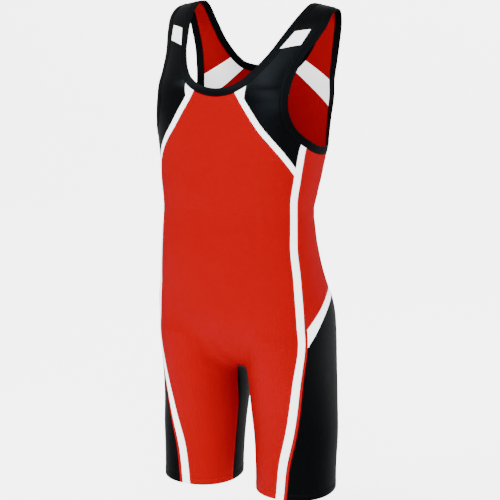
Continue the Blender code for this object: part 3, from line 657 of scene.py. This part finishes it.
# Creases: a fine one over the belly, soft ones from the crotch, others at the sides and back
# start x, y, z, end x, y, z, width, height
CREASES = np.array([
    (0.020, -0.142, -0.332, 0.064, -0.139, -0.338, 0.0055, -0.0010),
    (-0.066, -0.135, -0.362, -0.018, -0.141, -0.356, 0.0070, -0.0006),
    (-0.026, -0.126, -0.530, 0.010, -0.088, -0.616, 0.0190, 0.0030),
    (-0.052, -0.122, -0.548, -0.006, -0.080, -0.628, 0.0120, -0.0022),
    (0.040, -0.122, -0.552, 0.012, -0.084, -0.622, 0.0130, -0.0018),
    (0.020, -0.082, -0.622, 0.086, -0.104, -0.574, 0.0080, -0.0012),
    (0.026, -0.070, -0.650, 0.074, -0.100, -0.628, 0.0070, -0.0009),
    (-0.022, -0.078, -0.632, -0.092, -0.104, -0.590, 0.0090, -0.0013),
    (-0.024, -0.060, -0.668, -0.070, -0.096, -0.650, 0.0080, -0.0008),
    (0.052, -0.062, -0.806, 0.112, -0.070, -0.818, 0.0080, 0.0008),
    (-0.048, -0.060, -0.778, -0.096, -0.072, -0.792, 0.0090, 0.0007),
    (0.128, -0.084, -0.262, 0.092, -0.122, -0.300, 0.0100, -0.0010),
    (-0.130, -0.080, -0.258, -0.086, -0.126, -0.286, 0.0090, -0.0009),
    (0.126, -0.070, -0.330, 0.124, 0.012, -0.346, 0.0080, -0.0014),
    (0.128, -0.050, -0.362, 0.118, 0.030, -0.352, 0.0070, -0.0011),
    (0.133, -0.060, -0.298, 0.130, 0.008, -0.306, 0.0080, -0.0008),
    (-0.125, -0.062, -0.322, -0.122, 0.020, -0.338, 0.0080, -0.0013),
    (-0.129, -0.044, -0.372, -0.112, 0.034, -0.366, 0.0070, -0.0010),
    (-0.070, 0.036, -0.352, 0.048, 0.044, -0.362, 0.0110, -0.0022),
    (-0.040, 0.046, -0.384, 0.082, 0.034, -0.378, 0.0100, -0.0019),
    (-0.092, 0.030, -0.398, -0.010, 0.050, -0.406, 0.0090, -0.0013),
    (-0.060, 0.052, -0.316, 0.030, 0.054, -0.326, 0.0100, -0.0012),
    (0.018, 0.086, -0.610, 0.082, 0.104, -0.632, 0.0100, -0.0019),
    (-0.020, 0.084, -0.616, -0.090, 0.102, -0.640, 0.0110, -0.0021),
    (0.030, 0.072, -0.652, 0.088, 0.096, -0.668, 0.0090, -0.0012),
    (-0.034, 0.070, -0.660, -0.078, 0.096, -0.682, 0.0080, -0.0010),
    (0.150, -0.020, -0.640, 0.150, 0.040, -0.668, 0.0110, -0.0008),
    (-0.150, -0.030, -0.652, -0.148, 0.036, -0.676, 0.0110, -0.0009),
    (-0.100, 0.078, -0.176, -0.048, 0.084, -0.204, 0.0100, -0.0012),
    (0.096, 0.076, -0.182, 0.050, 0.084, -0.216, 0.0100, -0.0010),
])


def creased(grid):
    """The points moved in or out where a crease passes."""
    flat = grid.reshape(-1, 3)
    height = np.zeros(len(flat))
    for row in CREASES:
        start, end, width, depth = row[:3], row[3:6], row[6], row[7]
        span = end - start
        along = (flat - start) @ span / (span @ span)
        apart = np.linalg.norm(flat - start - along[:, None] * span, axis=1)
        reach = np.clip(along, 0, 1) * (1 - np.clip(along, 0, 1)) * 4
        height += depth * reach ** 0.8 * np.exp(-(apart / width) ** 2)
    return (flat + outward(flat) * height[:, None]).reshape(grid.shape)


# The knit's pattern follows the piece's own UV map, which counts metres on the cloth.
# Wales and courses are 1.6 and 1.2 mm here, some three times the real size, to be seen at all.
WALE, COURSE = 0.0016, 0.0012
LOOP_SLANT, LOOP_RELIEF = 0.55, 0.25
BUMP_DEPTH = 0.00012


def linear(hexes):
    """A colour in linear light from its sRGB hex."""
    parts = [int(hexes[i:i + 2], 16) / 255 for i in (1, 3, 5)]
    return [p / 12.92 if p <= 0.04045 else ((p + 0.055) / 1.055) ** 2.4 for p in parts] + [1.0]


def add(tree, kind, settings=(), **sockets):
    """Adds a node. A socket takes a value, an output, or a node for its first output."""
    made = tree.nodes.new(kind)
    for key, value in dict(settings).items():
        setattr(made, key, value)
    for key, value in sockets.items():
        name = int(key[1:]) if key[1:].isdigit() else key.replace("_", " ")
        if isinstance(value, bpy.types.Node):
            value = value.outputs[0]
        if isinstance(value, bpy.types.NodeSocket):
            tree.links.new(value, made.inputs[name])
        else:
            made.inputs[name].default_value = value
    return made


def knit(name, colour, deep, sheen, specular, roughness, relief=0.35, wale=WALE, course=COURSE):
    """A satin stretch knit: V-shaped stitches in rows, a soft sheen, painted sheen bands and a grain.
    """
    material = bpy.data.materials.new(name)
    material.use_nodes = True
    tree = material.node_tree
    shader = tree.nodes["Principled BSDF"]
    uv = add(tree, "ShaderNodeUVMap", {"uv_map": "cloth"})
    parts = add(tree, "ShaderNodeSeparateXYZ", _0=uv)
    wales = add(tree, "ShaderNodeMath", {"operation": "DIVIDE"}, _0=parts.outputs[0], _1=wale)
    across = add(tree, "ShaderNodeMath", {"operation": "FRACT"}, _0=wales)
    aside = add(tree, "ShaderNodeMath", {"operation": "SUBTRACT"}, _0=across, _1=0.5)
    apart = add(tree, "ShaderNodeMath", {"operation": "ABSOLUTE"}, _0=aside)
    rib = add(tree, "ShaderNodeMath", {"operation": "MULTIPLY"}, _0=apart, _1=2.0)
    courses = add(tree, "ShaderNodeMath", {"operation": "DIVIDE"}, _0=parts.outputs[1], _1=course)
    down = add(tree, "ShaderNodeMath", {"operation": "MULTIPLY_ADD"}, _0=rib, _1=LOOP_SLANT, _2=courses)
    turns = add(tree, "ShaderNodeMath", {"operation": "MULTIPLY"}, _0=down, _1=FULL_TURN)
    loop = add(tree, "ShaderNodeMath", {"operation": "SINE"}, _0=turns)
    fall = add(tree, "ShaderNodeMath", {"operation": "POWER"}, _0=rib, _1=2.0)
    crown = add(tree, "ShaderNodeMath", {"operation": "SUBTRACT"}, _0=1.0, _1=fall)
    height = add(tree, "ShaderNodeMath", {"operation": "MULTIPLY_ADD"}, _0=loop, _1=LOOP_RELIEF,
                 _2=crown)
    place = add(tree, "ShaderNodeTexCoord").outputs["Object"]
    broad = add(tree, "ShaderNodeTexNoise", Vector=place, Scale=7.0, Detail=3.0, Roughness=0.55)
    fibre = add(tree, "ShaderNodeTexNoise", Vector=place, Scale=900.0, Detail=2.0, Roughness=0.6)
    # The colour runs between deep and colour in broad blotches, which are painted sheen bands, and in a
    # fine speckle, which is the fibres' grain.
    painted_sheen_bands = add(tree, "ShaderNodeMath", {"operation": "MULTIPLY"}, _0=broad, _1=0.7)
    sheen_bands_and_grain = add(tree, "ShaderNodeMath", {"operation": "MULTIPLY_ADD"}, _0=fibre, _1=0.3, _2=painted_sheen_bands)
    mix = add(tree, "ShaderNodeMix", {"data_type": "RGBA"}, _0=sheen_bands_and_grain, _6=linear(deep),
              _7=linear(colour))
    tree.links.new(mix.outputs[2], shader.inputs["Base Color"])
    rough = add(tree, "ShaderNodeMath", {"operation": "MULTIPLY_ADD"}, _0=broad, _1=0.16,
                _2=roughness - 0.08)
    tree.links.new(rough.outputs[0], shader.inputs["Roughness"])
    bump = add(tree, "ShaderNodeBump", Strength=relief, Distance=BUMP_DEPTH, Height=height)
    tree.links.new(bump.outputs[0], shader.inputs["Normal"])
    shader.inputs["Sheen Weight"].default_value = sheen[0]
    shader.inputs["Sheen Roughness"].default_value = 0.45
    shader.inputs["Sheen Tint"].default_value = linear(sheen[1])
    shader.inputs["Specular IOR Level"].default_value = specular
    shader.inputs["Specular Tint"].default_value = linear(sheen[1])
    return material


def runs(grid, axis):
    """How far each point lies along its row or column, in metres."""
    steps = np.linalg.norm(np.diff(grid, axis=axis), axis=2)
    return np.insert(np.cumsum(steps, axis=axis), 0, 0.0, axis=axis)


def bordered(grid, left, right, top, bottom):
    """Adds rows and columns close to the borders that are seams."""
    for turned, wanted in ((False, (left, right)), (True, (top, bottom))):
        work = grid.transpose(1, 0, 2) if turned else grid
        for side in (0, 1):
            work = work[:, ::-1]
            if not wanted[1 - side]:
                continue
            edge, inner = work[:, :1], work[:, 1:2]
            spacing = np.linalg.norm(inner - edge, axis=2)[..., None]
            extra = []
            for k, step in enumerate(SEAM_STEPS):
                share = np.minimum(step / spacing, (k + 1) / (len(SEAM_STEPS) + 1))
                extra.append(edge + (inner - edge) * share)
            work = np.concatenate([edge] + extra + [work[:, 1:]], axis=1)
        grid = work.transpose(1, 0, 2) if turned else work
    return grid


def cloth(name, grid, material, slot, nodes, cut, across=False, borders=(1, 1, 1, 1), lift=0.0,
          thickness=CLOTH, profile=None):
    """A piece of cloth round its points, on the form and its creases.

    cut, its flat width, length and area, is not used. borders says which of its left, right,
    top and bottom edges are seams, where the outer face rounds down. across makes one piece of
    both halves. profile gives a binding its thickness for each column.
    """
    left, right, top, bottom = borders
    if profile is None:
        grid = bordered(grid, left, right, top, bottom)
    along, down = runs(grid, 1), runs(grid, 0)
    lengths = [(along, left), (along[:, -1:] - along, right), (down, top),
               (down[-1:] - down, bottom)]
    apart = np.full(grid.shape[:2], 1.0)
    for length, wanted in lengths:
        if wanted:
            apart = np.minimum(apart, length)
    facing = outward(grid)
    height = grid[..., 2]
    fold = np.clip((HEM + HEM_FOLD - height) / FOLD_EDGE + 0.5, 0, 1)
    groove = np.exp(-((height - HEM - HEM_FOLD) / FOLD_GROOVE) ** 2)
    raised = HEM_RAISE * fold - HEM_DIP * groove - SEAM_DIP * np.exp(-(apart / SEAM_ROUND) ** 1.5)
    shaped = creased(grid)
    if profile is None:
        half = np.full(grid.shape[:2], thickness / 2)[..., None]
    else:
        raised = 0.0 * raised
        half = np.broadcast_to(np.asarray(profile) / 2, grid.shape[:2])[..., None]
    outer = (shaped + facing * (half + lift + raised[..., None])).reshape(-1, 3)
    inner = (shaped - facing * (half - lift)).reshape(-1, 3)
    rows, columns = grid.shape[:2]
    bm = bmesh.new()
    order = bm.verts.layers.int.new("order")
    layer = bm.loops.layers.uv.new("cloth")
    bmesh.ops.create_grid(bm, x_segments=columns - 1, y_segments=rows - 1, size=1)
    bm.verts.ensure_lookup_table()
    flat_along, flat_down = along.ravel(), down.ravel()
    for index, vertex in enumerate(bm.verts):
        vertex[order] = index
        vertex.co = inner[index]
    for face in bm.faces:
        for loop in face.loops:
            index = loop.vert[order]
            loop[layer].uv = (flat_along[index], flat_down[index])
    grown = bmesh.ops.extrude_face_region(bm, geom=bm.faces[:])
    for vertex in grown["geom"]:
        if isinstance(vertex, bmesh.types.BMVert):
            vertex.co = outer[vertex[order]]
    if across:
        ends = [face for face in bm.faces if all(abs(v.co.x) < 1e-6 for v in face.verts)]
        bmesh.ops.delete(bm, geom=ends, context="FACES_ONLY")
        parts = bm.verts[:] + bm.edges[:] + bm.faces[:]
        bmesh.ops.mirror(bm, geom=parts, axis="X", merge_dist=1e-6)
    bmesh.ops.recalc_face_normals(bm, faces=bm.faces[:])
    if bm.calc_volume(signed=True) < 0:
        bmesh.ops.reverse_faces(bm, faces=bm.faces[:])
    mesh = bpy.data.meshes.new(name)
    bm.to_mesh(mesh)
    bm.free()
    mesh.shade_smooth()
    mesh.set_sharp_from_angle(angle=SHARP_EDGE)
    mesh.materials.append(material)
    piece = bpy.data.objects.new(name, mesh)
    bpy.context.collection.objects.link(piece)
    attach(piece, "root")
    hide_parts(*nodes)


# Red satin knit: its filament yarn gives a soft sheen, its loops a fine grain
red_knit = knit("red_knit", "#760107", "#6B0106", (0.010, "#FF3414"), specular=0.01, roughness=0.50)

cloth("front_panel_cloth",
      panel(at_neck["front"], hem(gusset_front, stripe_inner, ACROSS_FRONT),
            joined(middle_front, gusset_front), joined(chest_inner, stripe_inner[side_top:])),
      red_knit, "red_knit", ["front_panel"], (0.33, 0.77, 0.177), across=True,
      borders=(0, 1, 1, 0))

# Back: the same red knit, from the white band across the shoulder blades down both legs. It is
# one piece too, flatlocked to the side panels behind the hip, with the same folded hems.
cloth("back_panel_cloth",
      panel(at_neck["back"][::-1], hem(gusset_back, seam, ACROSS_BACK, math.pi),
            joined(middle_back, gusset_back), joined(band_lower, at_arm["back"][::-1], seam),
            math.pi),
      red_knit, "red_knit", ["back_panel"], (0.34, 0.80, 0.182), across=True,
      borders=(0, 1, 1, 0))

# Gusset: satin knit between the legs, arched in front and run down the inside of both to the
# hems. It is one piece, flatlocked to the front and back along both its edges. The black dye
# leaves only the satin's highlights to be seen.
black_knit = knit("black_knit", "#030304", "#020202", (0.006, "#8FA3B0"), specular=0.11,
                  roughness=0.32)
cloth("inner_leg_gusset_cloth",
      panel(crotch, hem(gusset_front, gusset_back, ACROSS_GUSSET, -math.pi / 2),
            gusset_front, gusset_back, -math.pi / 2),
      black_knit, "black_knit", ["inner_leg_gusset"], (0.26, 0.27, 0.0364), across=True,
      borders=(1, 1, 0, 0))


# White stripes: narrow strips of the same knit, flatlocked in between the coloured panels. One
# pair slants from the neck to the sides and flares at its upper end, the other runs from the
# armholes to the hems. The white cloth is the mattest.
white_knit = knit("white_knit", "#F6F7F9", "#EDEFF3", (0.02, "#FFFFFF"), specular=0.10,
                  roughness=0.6)


def both(name, grid, material, slot, cut, **how):
    """The same cloth on the wearer's left and right."""
    for side, points in (("left", grid), ("right", flipped(grid))):
        node = f"{name}_{side}"
        cloth(f"{node}_cloth", points, material, slot, [node], cut, **how)


both("chest_stripe", strip(chest_inner, chest_outer, STRIPE_SHARES), white_knit, "white_knit",
     (0.023, 0.175, 0.0018), borders=(1, 1, 1, 0))
both("side_stripe", strip(stripe_inner, stripe_outer, STRIPE_SHARES), white_knit, "white_knit",
     (0.0148, 0.642, 0.0092), borders=(1, 1, 1, 0))

# Chest panels: black satin knit, each in one with its front strap. They are flatlocked to the
# slanting stripe and the side stripe and, just behind the shoulder's crest, to the back strap.
both("chest_panel",
     panel(shoulder, stripe_inner[side_upper::-1],
           joined(at_neck["front_strap"][::-1], chest_outer), at_arm["front"], math.pi / 2),
     black_knit, "black_knit", (0.067, 0.387, 0.0117))

# Side panels and hip bands: red knit under each arm down to the hip, and below it a curved white
# band. Both are flatlocked between the side stripe and the seam towards the back.
both("side_panel",
     panel(at_arm["side"], hip_upper, stripe_outer[:side_end + 1], seam[:side_end + 1],
           math.pi / 2),
     red_knit, "red_knit", (0.165, 0.320, 0.0338))
both("hip_band",
     panel(hip_upper[FINER:], hip_lower[FINER:], piping_outer[:BAND_STEPS + 1],
           seam[side_end:band_end + 1], math.pi / 2),
     white_knit, "white_knit", (0.172, 0.038, 0.0032))

# Outside of the legs: a strip of red knit 6 mm wide beside the stripe, and a black panel back to
# the seam behind it. Both run down into the folded hem.
both("leg_piping", strip(stripe_outer[side_end:], piping_outer, (0.0, 0.5, 1.0)), red_knit,
     "red_knit", (0.010, 0.320, 0.0020), borders=(1, 1, 1, 0))
both("leg_side_panel",
     panel(hip_lower[FINER:], hem(piping_outer, seam, ACROSS_LEG_SIDE, math.pi / 2),
           piping_outer[BAND_STEPS:], seam[band_end:], math.pi / 2),
     black_knit, "black_knit", (0.181, 0.366, 0.0531), borders=(1, 1, 1, 0))

# Upper back: a slanting white band over each shoulder blade, and above it a red strap up to the
# shoulder seam. They are the same knit as the rest, flatlocked to each other and to the back.
both("back_band",
     panel(band_upper, band_lower, at_neck["back_band"], at_arm["band"][::-1], math.pi),
     white_knit, "white_knit", (0.097, 0.046, 0.0027))
both("back_strap",
     panel(shoulder, band_upper, at_neck["back_strap"], at_arm["back_strap"][::-1], math.pi),
     red_knit, "red_knit", (0.061, 0.143, 0.0044))

# Bindings: folded elastic tape over the raw edges of the neck and armholes. It is rolled at the
# free edge and laps the cloth, and a row of stitches holds it down. Its ribs are coarser and its
# face is duller than the satin's.
black_binding = knit("black_binding", "#030304", "#020202", (0.004, "#8FA3B0"), specular=0.08,
                     roughness=0.50, relief=0.6, wale=0.0024, course=0.0014)
BINDING = 0.0026
BINDING_LAP = -0.10
BINDING_SHARES = np.array([BINDING_LAP, -0.085, -0.05, 0.02, 0.14, 0.32, 0.5, 0.68, 0.82, 0.91,
                           0.965, 0.99, 1.0])
BINDING_GIRTHS = BINDING * np.array([0.56, 0.66, 0.76, 0.86, 0.92, 0.95, 0.97, 1.0, 0.98, 0.90,
                                     0.74, 0.52, 0.25])


def binding(marks, line, edge):
    """A binding's points between a seam and the free edge."""
    return strip(spot(line, marks), spot(edge, marks), BINDING_SHARES, held=False)


bound = {"profile": BINDING_GIRTHS, "borders": (0, 0, 0, 0)}
neck_front = np.concatenate([neck_marks["front"], neck_marks["flare"][1:],
                             neck_marks["front_strap"][1:]])
neck_back = np.concatenate([neck_marks["back_strap"], neck_marks["back_band"][1:],
                            neck_marks["back"][1:]])
for half, marks, cut in (("front", neck_front, (0.0137, 0.56, 0.0074)),
                         ("back", neck_back, (0.0137, 0.42, 0.0055))):
    cloth(f"neck_binding_{half}_cloth", binding(marks, neck, neck_edge), black_binding,
          "black_binding", [f"neck_binding_{half}"], cut, across=True, **bound)
arm_front = np.concatenate([arm_marks["front"], arm_marks["stripe"][1:], arm_marks["side"][1:]])
arm_back = np.concatenate([arm_marks["back"], arm_marks["band"][1:], arm_marks["back_strap"][1:]])
for half, marks, cut in (("front", arm_front, (0.0137, 0.453, 0.0059)),
                         ("back", arm_back, (0.0137, 0.249, 0.0033))):
    both(f"armhole_binding_{half}", binding(marks, armhole, armhole_edge), black_binding,
         "black_binding", cut, **bound)

# Sewing: a row of stitches on each side of every seam, one along each binding and two round
# the hems, in thread that matches the cloth under it. A stitch is a small bead of thread,
# 2.4 mm long, every 3.2 mm; the beads of one colour are one mesh.
STITCH_PITCH, STITCH_LENGTH, STITCH_RADIUS = 0.0032, 0.0024, 0.00024
STITCH_OFF = 0.0022
HEM_STITCHES = (0.0088, 0.0112)
ON_CLOTH = CLOTH / 2
ON_HEM = CLOTH / 2 + HEM_RAISE
ON_BINDING, BINDING_ROW = BINDING * 0.47, 0.0010
HEM_TAIL, HEM_POINTS = 40, 60


def thread(name, colour):
    """Polyester sewing thread, glossier than the cloth."""
    material = bpy.data.materials.new(name)
    material.use_nodes = True
    tree = material.node_tree
    shader = tree.nodes["Principled BSDF"]
    place = add(tree, "ShaderNodeTexCoord").outputs["Object"]
    twist = add(tree, "ShaderNodeTexWave", Vector=place, Scale=1400.0, Distortion=2.0)
    bump = add(tree, "ShaderNodeBump", Strength=0.5, Distance=0.00005, Height=twist.outputs[1])
    tree.links.new(bump.outputs[0], shader.inputs["Normal"])
    shader.inputs["Base Color"].default_value = linear(colour)
    shader.inputs["Roughness"].default_value = 0.38
    shader.inputs["Specular IOR Level"].default_value = 0.12
    return material


def row(line, lift, offset=0.0):
    """Centres and directions of the stitches beside a seam, at even steps."""
    along = np.insert(np.cumsum(np.linalg.norm(np.diff(line, axis=0), axis=1)), 0, 0.0)
    count = max(int(along[-1] / STITCH_PITCH), 2)
    wanted = (np.arange(count) + 0.5) * along[-1] / count
    centre = np.stack([np.interp(wanted, along, line[:, k]) for k in range(3)], axis=1)
    ahead = np.gradient(centre, axis=0)
    ahead /= np.linalg.norm(ahead, axis=1)[:, None]
    up = outward(centre)
    side = np.cross(up, ahead)
    centre = creased(settled(centre + side * offset)) + up * lift
    return np.stack([centre, ahead, side, up], axis=1)


def stitches(name, rows, material):
    """Every stitch of one colour on the wearer's left, and the same on the right."""
    bm = bmesh.new()
    bmesh.ops.create_icosphere(bm, subdivisions=1, radius=1.0)
    bmesh.ops.scale(bm, vec=(STITCH_LENGTH / 2, STITCH_RADIUS, STITCH_RADIUS), verts=bm.verts)
    bead = bpy.data.meshes.new("bead")
    bm.to_mesh(bead)
    bm.clear()
    for centre, ahead, side, up in np.concatenate(rows):
        place = np.eye(4)
        place[:3] = np.column_stack([ahead, side, up, centre])
        sewn = bead.copy()
        sewn.transform(Matrix(place))
        bm.from_mesh(sewn)
        bpy.data.meshes.remove(sewn)
    bpy.data.meshes.remove(bead)
    beads = bm.verts[:] + bm.edges[:] + bm.faces[:]
    bmesh.ops.mirror(bm, geom=beads, axis="X", merge_dist=0.0)
    bmesh.ops.recalc_face_normals(bm, faces=bm.faces[:])
    mesh = bpy.data.meshes.new(name)
    bm.to_mesh(mesh)
    bm.free()
    mesh.shade_smooth()
    mesh.materials.append(material)
    piece = bpy.data.objects.new(name, mesh)
    bpy.context.collection.objects.link(piece)
    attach(piece, "root")


def level(line, height):
    """The line's point at a height near the hem."""
    tail = line[-HEM_TAIL:]
    return [np.interp(-height, -tail[:, 2], tail[:, k]) for k in range(3)]


def hem_row(first, second, turn, rise):
    """Stitches round the hem between two seams, at a rise above its edge."""
    ends = unrolled(np.array([level(first, HEM + rise), level(second, HEM + rise)]), turn)
    ends[:, 2] = HEM + rise
    return row(settled(rolled(np.linspace(ends[0], ends[1], HEM_POINTS))), ON_HEM)


def beside(side, *lines):
    """Rows on the left, 1, or right, -1, of each line, as seen from outside."""
    return [row(line, ON_CLOTH, side * STITCH_OFF) for line in lines]


def hem_rows(first, second, turn):
    """Both rows of stitches round the hem between two seams."""
    return [hem_row(first, second, turn, rise) for rise in HEM_STITCHES]


red_rows = beside(-1, chest_inner, stripe_inner[side_top:], seam[:side_end + 1], band_upper,
                  gusset_back)
red_rows += beside(1, stripe_outer[:side_end + 1], seam, hip_upper, band_lower, shoulder,
                   gusset_front)
red_rows += hem_rows(gusset_front, stripe_inner, 0.0) + hem_rows(gusset_back, seam, math.pi)
red_rows += [row(piping_outer, ON_CLOTH, -PIPING / 2)]
white_rows = beside(1, chest_inner, stripe_inner, hip_lower[FINER:], piping_outer[:BAND_STEPS + 1])
white_rows += beside(1, band_upper)
white_rows += beside(-1, chest_outer, stripe_outer, seam[side_end:band_end + 1],
                     hip_upper[FINER:], band_lower)
white_rows += hem_rows(stripe_inner, stripe_outer, math.pi / 2)
black_rows = beside(1, chest_outer, piping_outer[BAND_STEPS:], gusset_back)
black_rows += beside(-1, stripe_inner[:side_upper + 1], seam[band_end:], hip_lower[FINER:], shoulder,
                     gusset_front)
black_rows += hem_rows(piping_outer, seam, math.pi / 2)
black_rows += hem_rows(gusset_front, gusset_back, -math.pi / 2)
bound_edges = [spot(line, marks) for line, marks in ((neck, neck_front), (neck, neck_back),
                                                     (armhole, arm_front), (armhole, arm_back))]
black_rows += [row(line, ON_BINDING, BINDING_ROW) for line in bound_edges]
stitches("red_stitches", red_rows, thread("red_thread", "#A00306"))
stitches("white_stitches", white_rows, thread("white_thread", "#EFF1F4"))
stitches("black_stitches", black_rows, thread("black_thread", "#08090A"))

# Strap patches: a bare white patch on each front strap, of smooth film pressed on to the black
# knit. It is thin, hides the cloth's grain and has a slight gloss.
white_patch = knit("white_patch", "#F7F8F9", "#F1F2F5", (0.0, "#FFFFFF"), specular=0.20,
                   roughness=0.40, relief=0.08)
PATCH, PATCH_STEPS, PATCH_LIFT = 0.0006, 16, 0.0011
corners = settled(np.array(STRAP_PATCH))
patch = panel(*[np.linspace(corners[a], corners[b], PATCH_STEPS + 1)
                for a, b in ((0, 1), (2, 3), (0, 2), (1, 3))], math.pi / 2)
both("strap_patch", settled(patch), white_patch, "white_patch", (0.036, 0.040, 0.0009),
     thickness=PATCH, lift=PATCH_LIFT, borders=(0, 0, 0, 0))

# Floor and backdrop: one pale sheet of paper that runs back and curves up behind. It glows,
# as a lit studio sweep does, and isn't mirrored in the satin.
FLOOR, SHEET_LENGTH, SHEET_WIDTH = HEM - 0.14, 6.0, 4.0
BEND_START, BEND_RADIUS = 1.4, 1.4
bm = bmesh.new()
bmesh.ops.create_grid(bm, x_segments=8, y_segments=60, size=SHEET_LENGTH)
for vertex in bm.verts:
    vertex.co.x *= SHEET_WIDTH / SHEET_LENGTH
    beyond = max(vertex.co.y - BEND_START, 0.0)
    turn = min(beyond / BEND_RADIUS, math.pi / 2)
    rise = max(beyond - BEND_RADIUS * math.pi / 2, 0.0)
    vertex.co.z = FLOOR + BEND_RADIUS * (1 - math.cos(turn)) + rise
    vertex.co.y = min(vertex.co.y, BEND_START) + BEND_RADIUS * math.sin(turn)
sheet = bpy.data.meshes.new("floor")
bm.to_mesh(sheet)
bm.free()
sheet.shade_smooth()
floor = bpy.data.objects.new("floor", sheet)
bpy.context.collection.objects.link(floor)
paper = bpy.data.materials.new("paper")
paper.use_nodes = True
paper_shader = paper.node_tree.nodes["Principled BSDF"]
paper_shader.inputs["Base Color"].default_value = (0.92, 0.92, 0.92, 1)
paper_shader.inputs["Roughness"].default_value = 0.95
paper_shader.inputs["Emission Color"].default_value = (1, 1, 1, 1)
paper_shader.inputs["Emission Strength"].default_value = 3.2
sheet.materials.append(paper)
floor.visible_glossy = False

# Soft studio light: a broad key in front, a softbox at each side and one above, in a white room
# that also lights the hollow inside of the garment.
world = bpy.data.worlds.new("studio")
bpy.context.scene.world = world
world.use_nodes = True
world.node_tree.nodes["Background"].inputs[0].default_value = (1, 1, 1, 1)
world.node_tree.nodes["Background"].inputs[1].default_value = 0.40
# x, y, z, size, power
LAMPS = ((1.3, -2.9, 0.6, 2.0, 105), (2.4, -0.3, 1.3, 1.0, 40), (-1.5, -2.0, 1.6, 1.0, 125),
         (0.3, -1.2, 2.0, 1.2, 60))
LAMP_AIM = Vector((0, 0, -0.4))
for number, (x, y, z, size, power) in enumerate(LAMPS):
    lamp = bpy.data.lights.new(f"softbox_{number}", "AREA")
    lamp.size, lamp.energy = size, power
    holder = bpy.data.objects.new(f"softbox_{number}", lamp)
    holder.location = (x, y, z)
    aim = LAMP_AIM - holder.location
    holder.rotation_euler = aim.to_track_quat("-Z", "Y").to_euler()
    bpy.context.collection.objects.link(holder)

# Camera: at the photograph's angle, 25 degrees to the garment's left and 12.5 above it, with a
# long lens.
AZIMUTH, ELEVATION, DISTANCE, LENS, AIM = math.radians(25), math.radians(12.5), 2.55, 104, -0.43
camera = bpy.data.objects.new("camera", bpy.data.cameras.new("camera"))
camera.data.lens = LENS
away = Vector((math.sin(AZIMUTH) * math.cos(ELEVATION), -math.cos(AZIMUTH) * math.cos(ELEVATION),
               math.sin(ELEVATION)))
camera.location = Vector((0, 0, AIM)) + away * DISTANCE
camera.rotation_euler = (-away).to_track_quat("-Z", "Y").to_euler()
bpy.context.collection.objects.link(camera)
bpy.context.scene.camera = camera
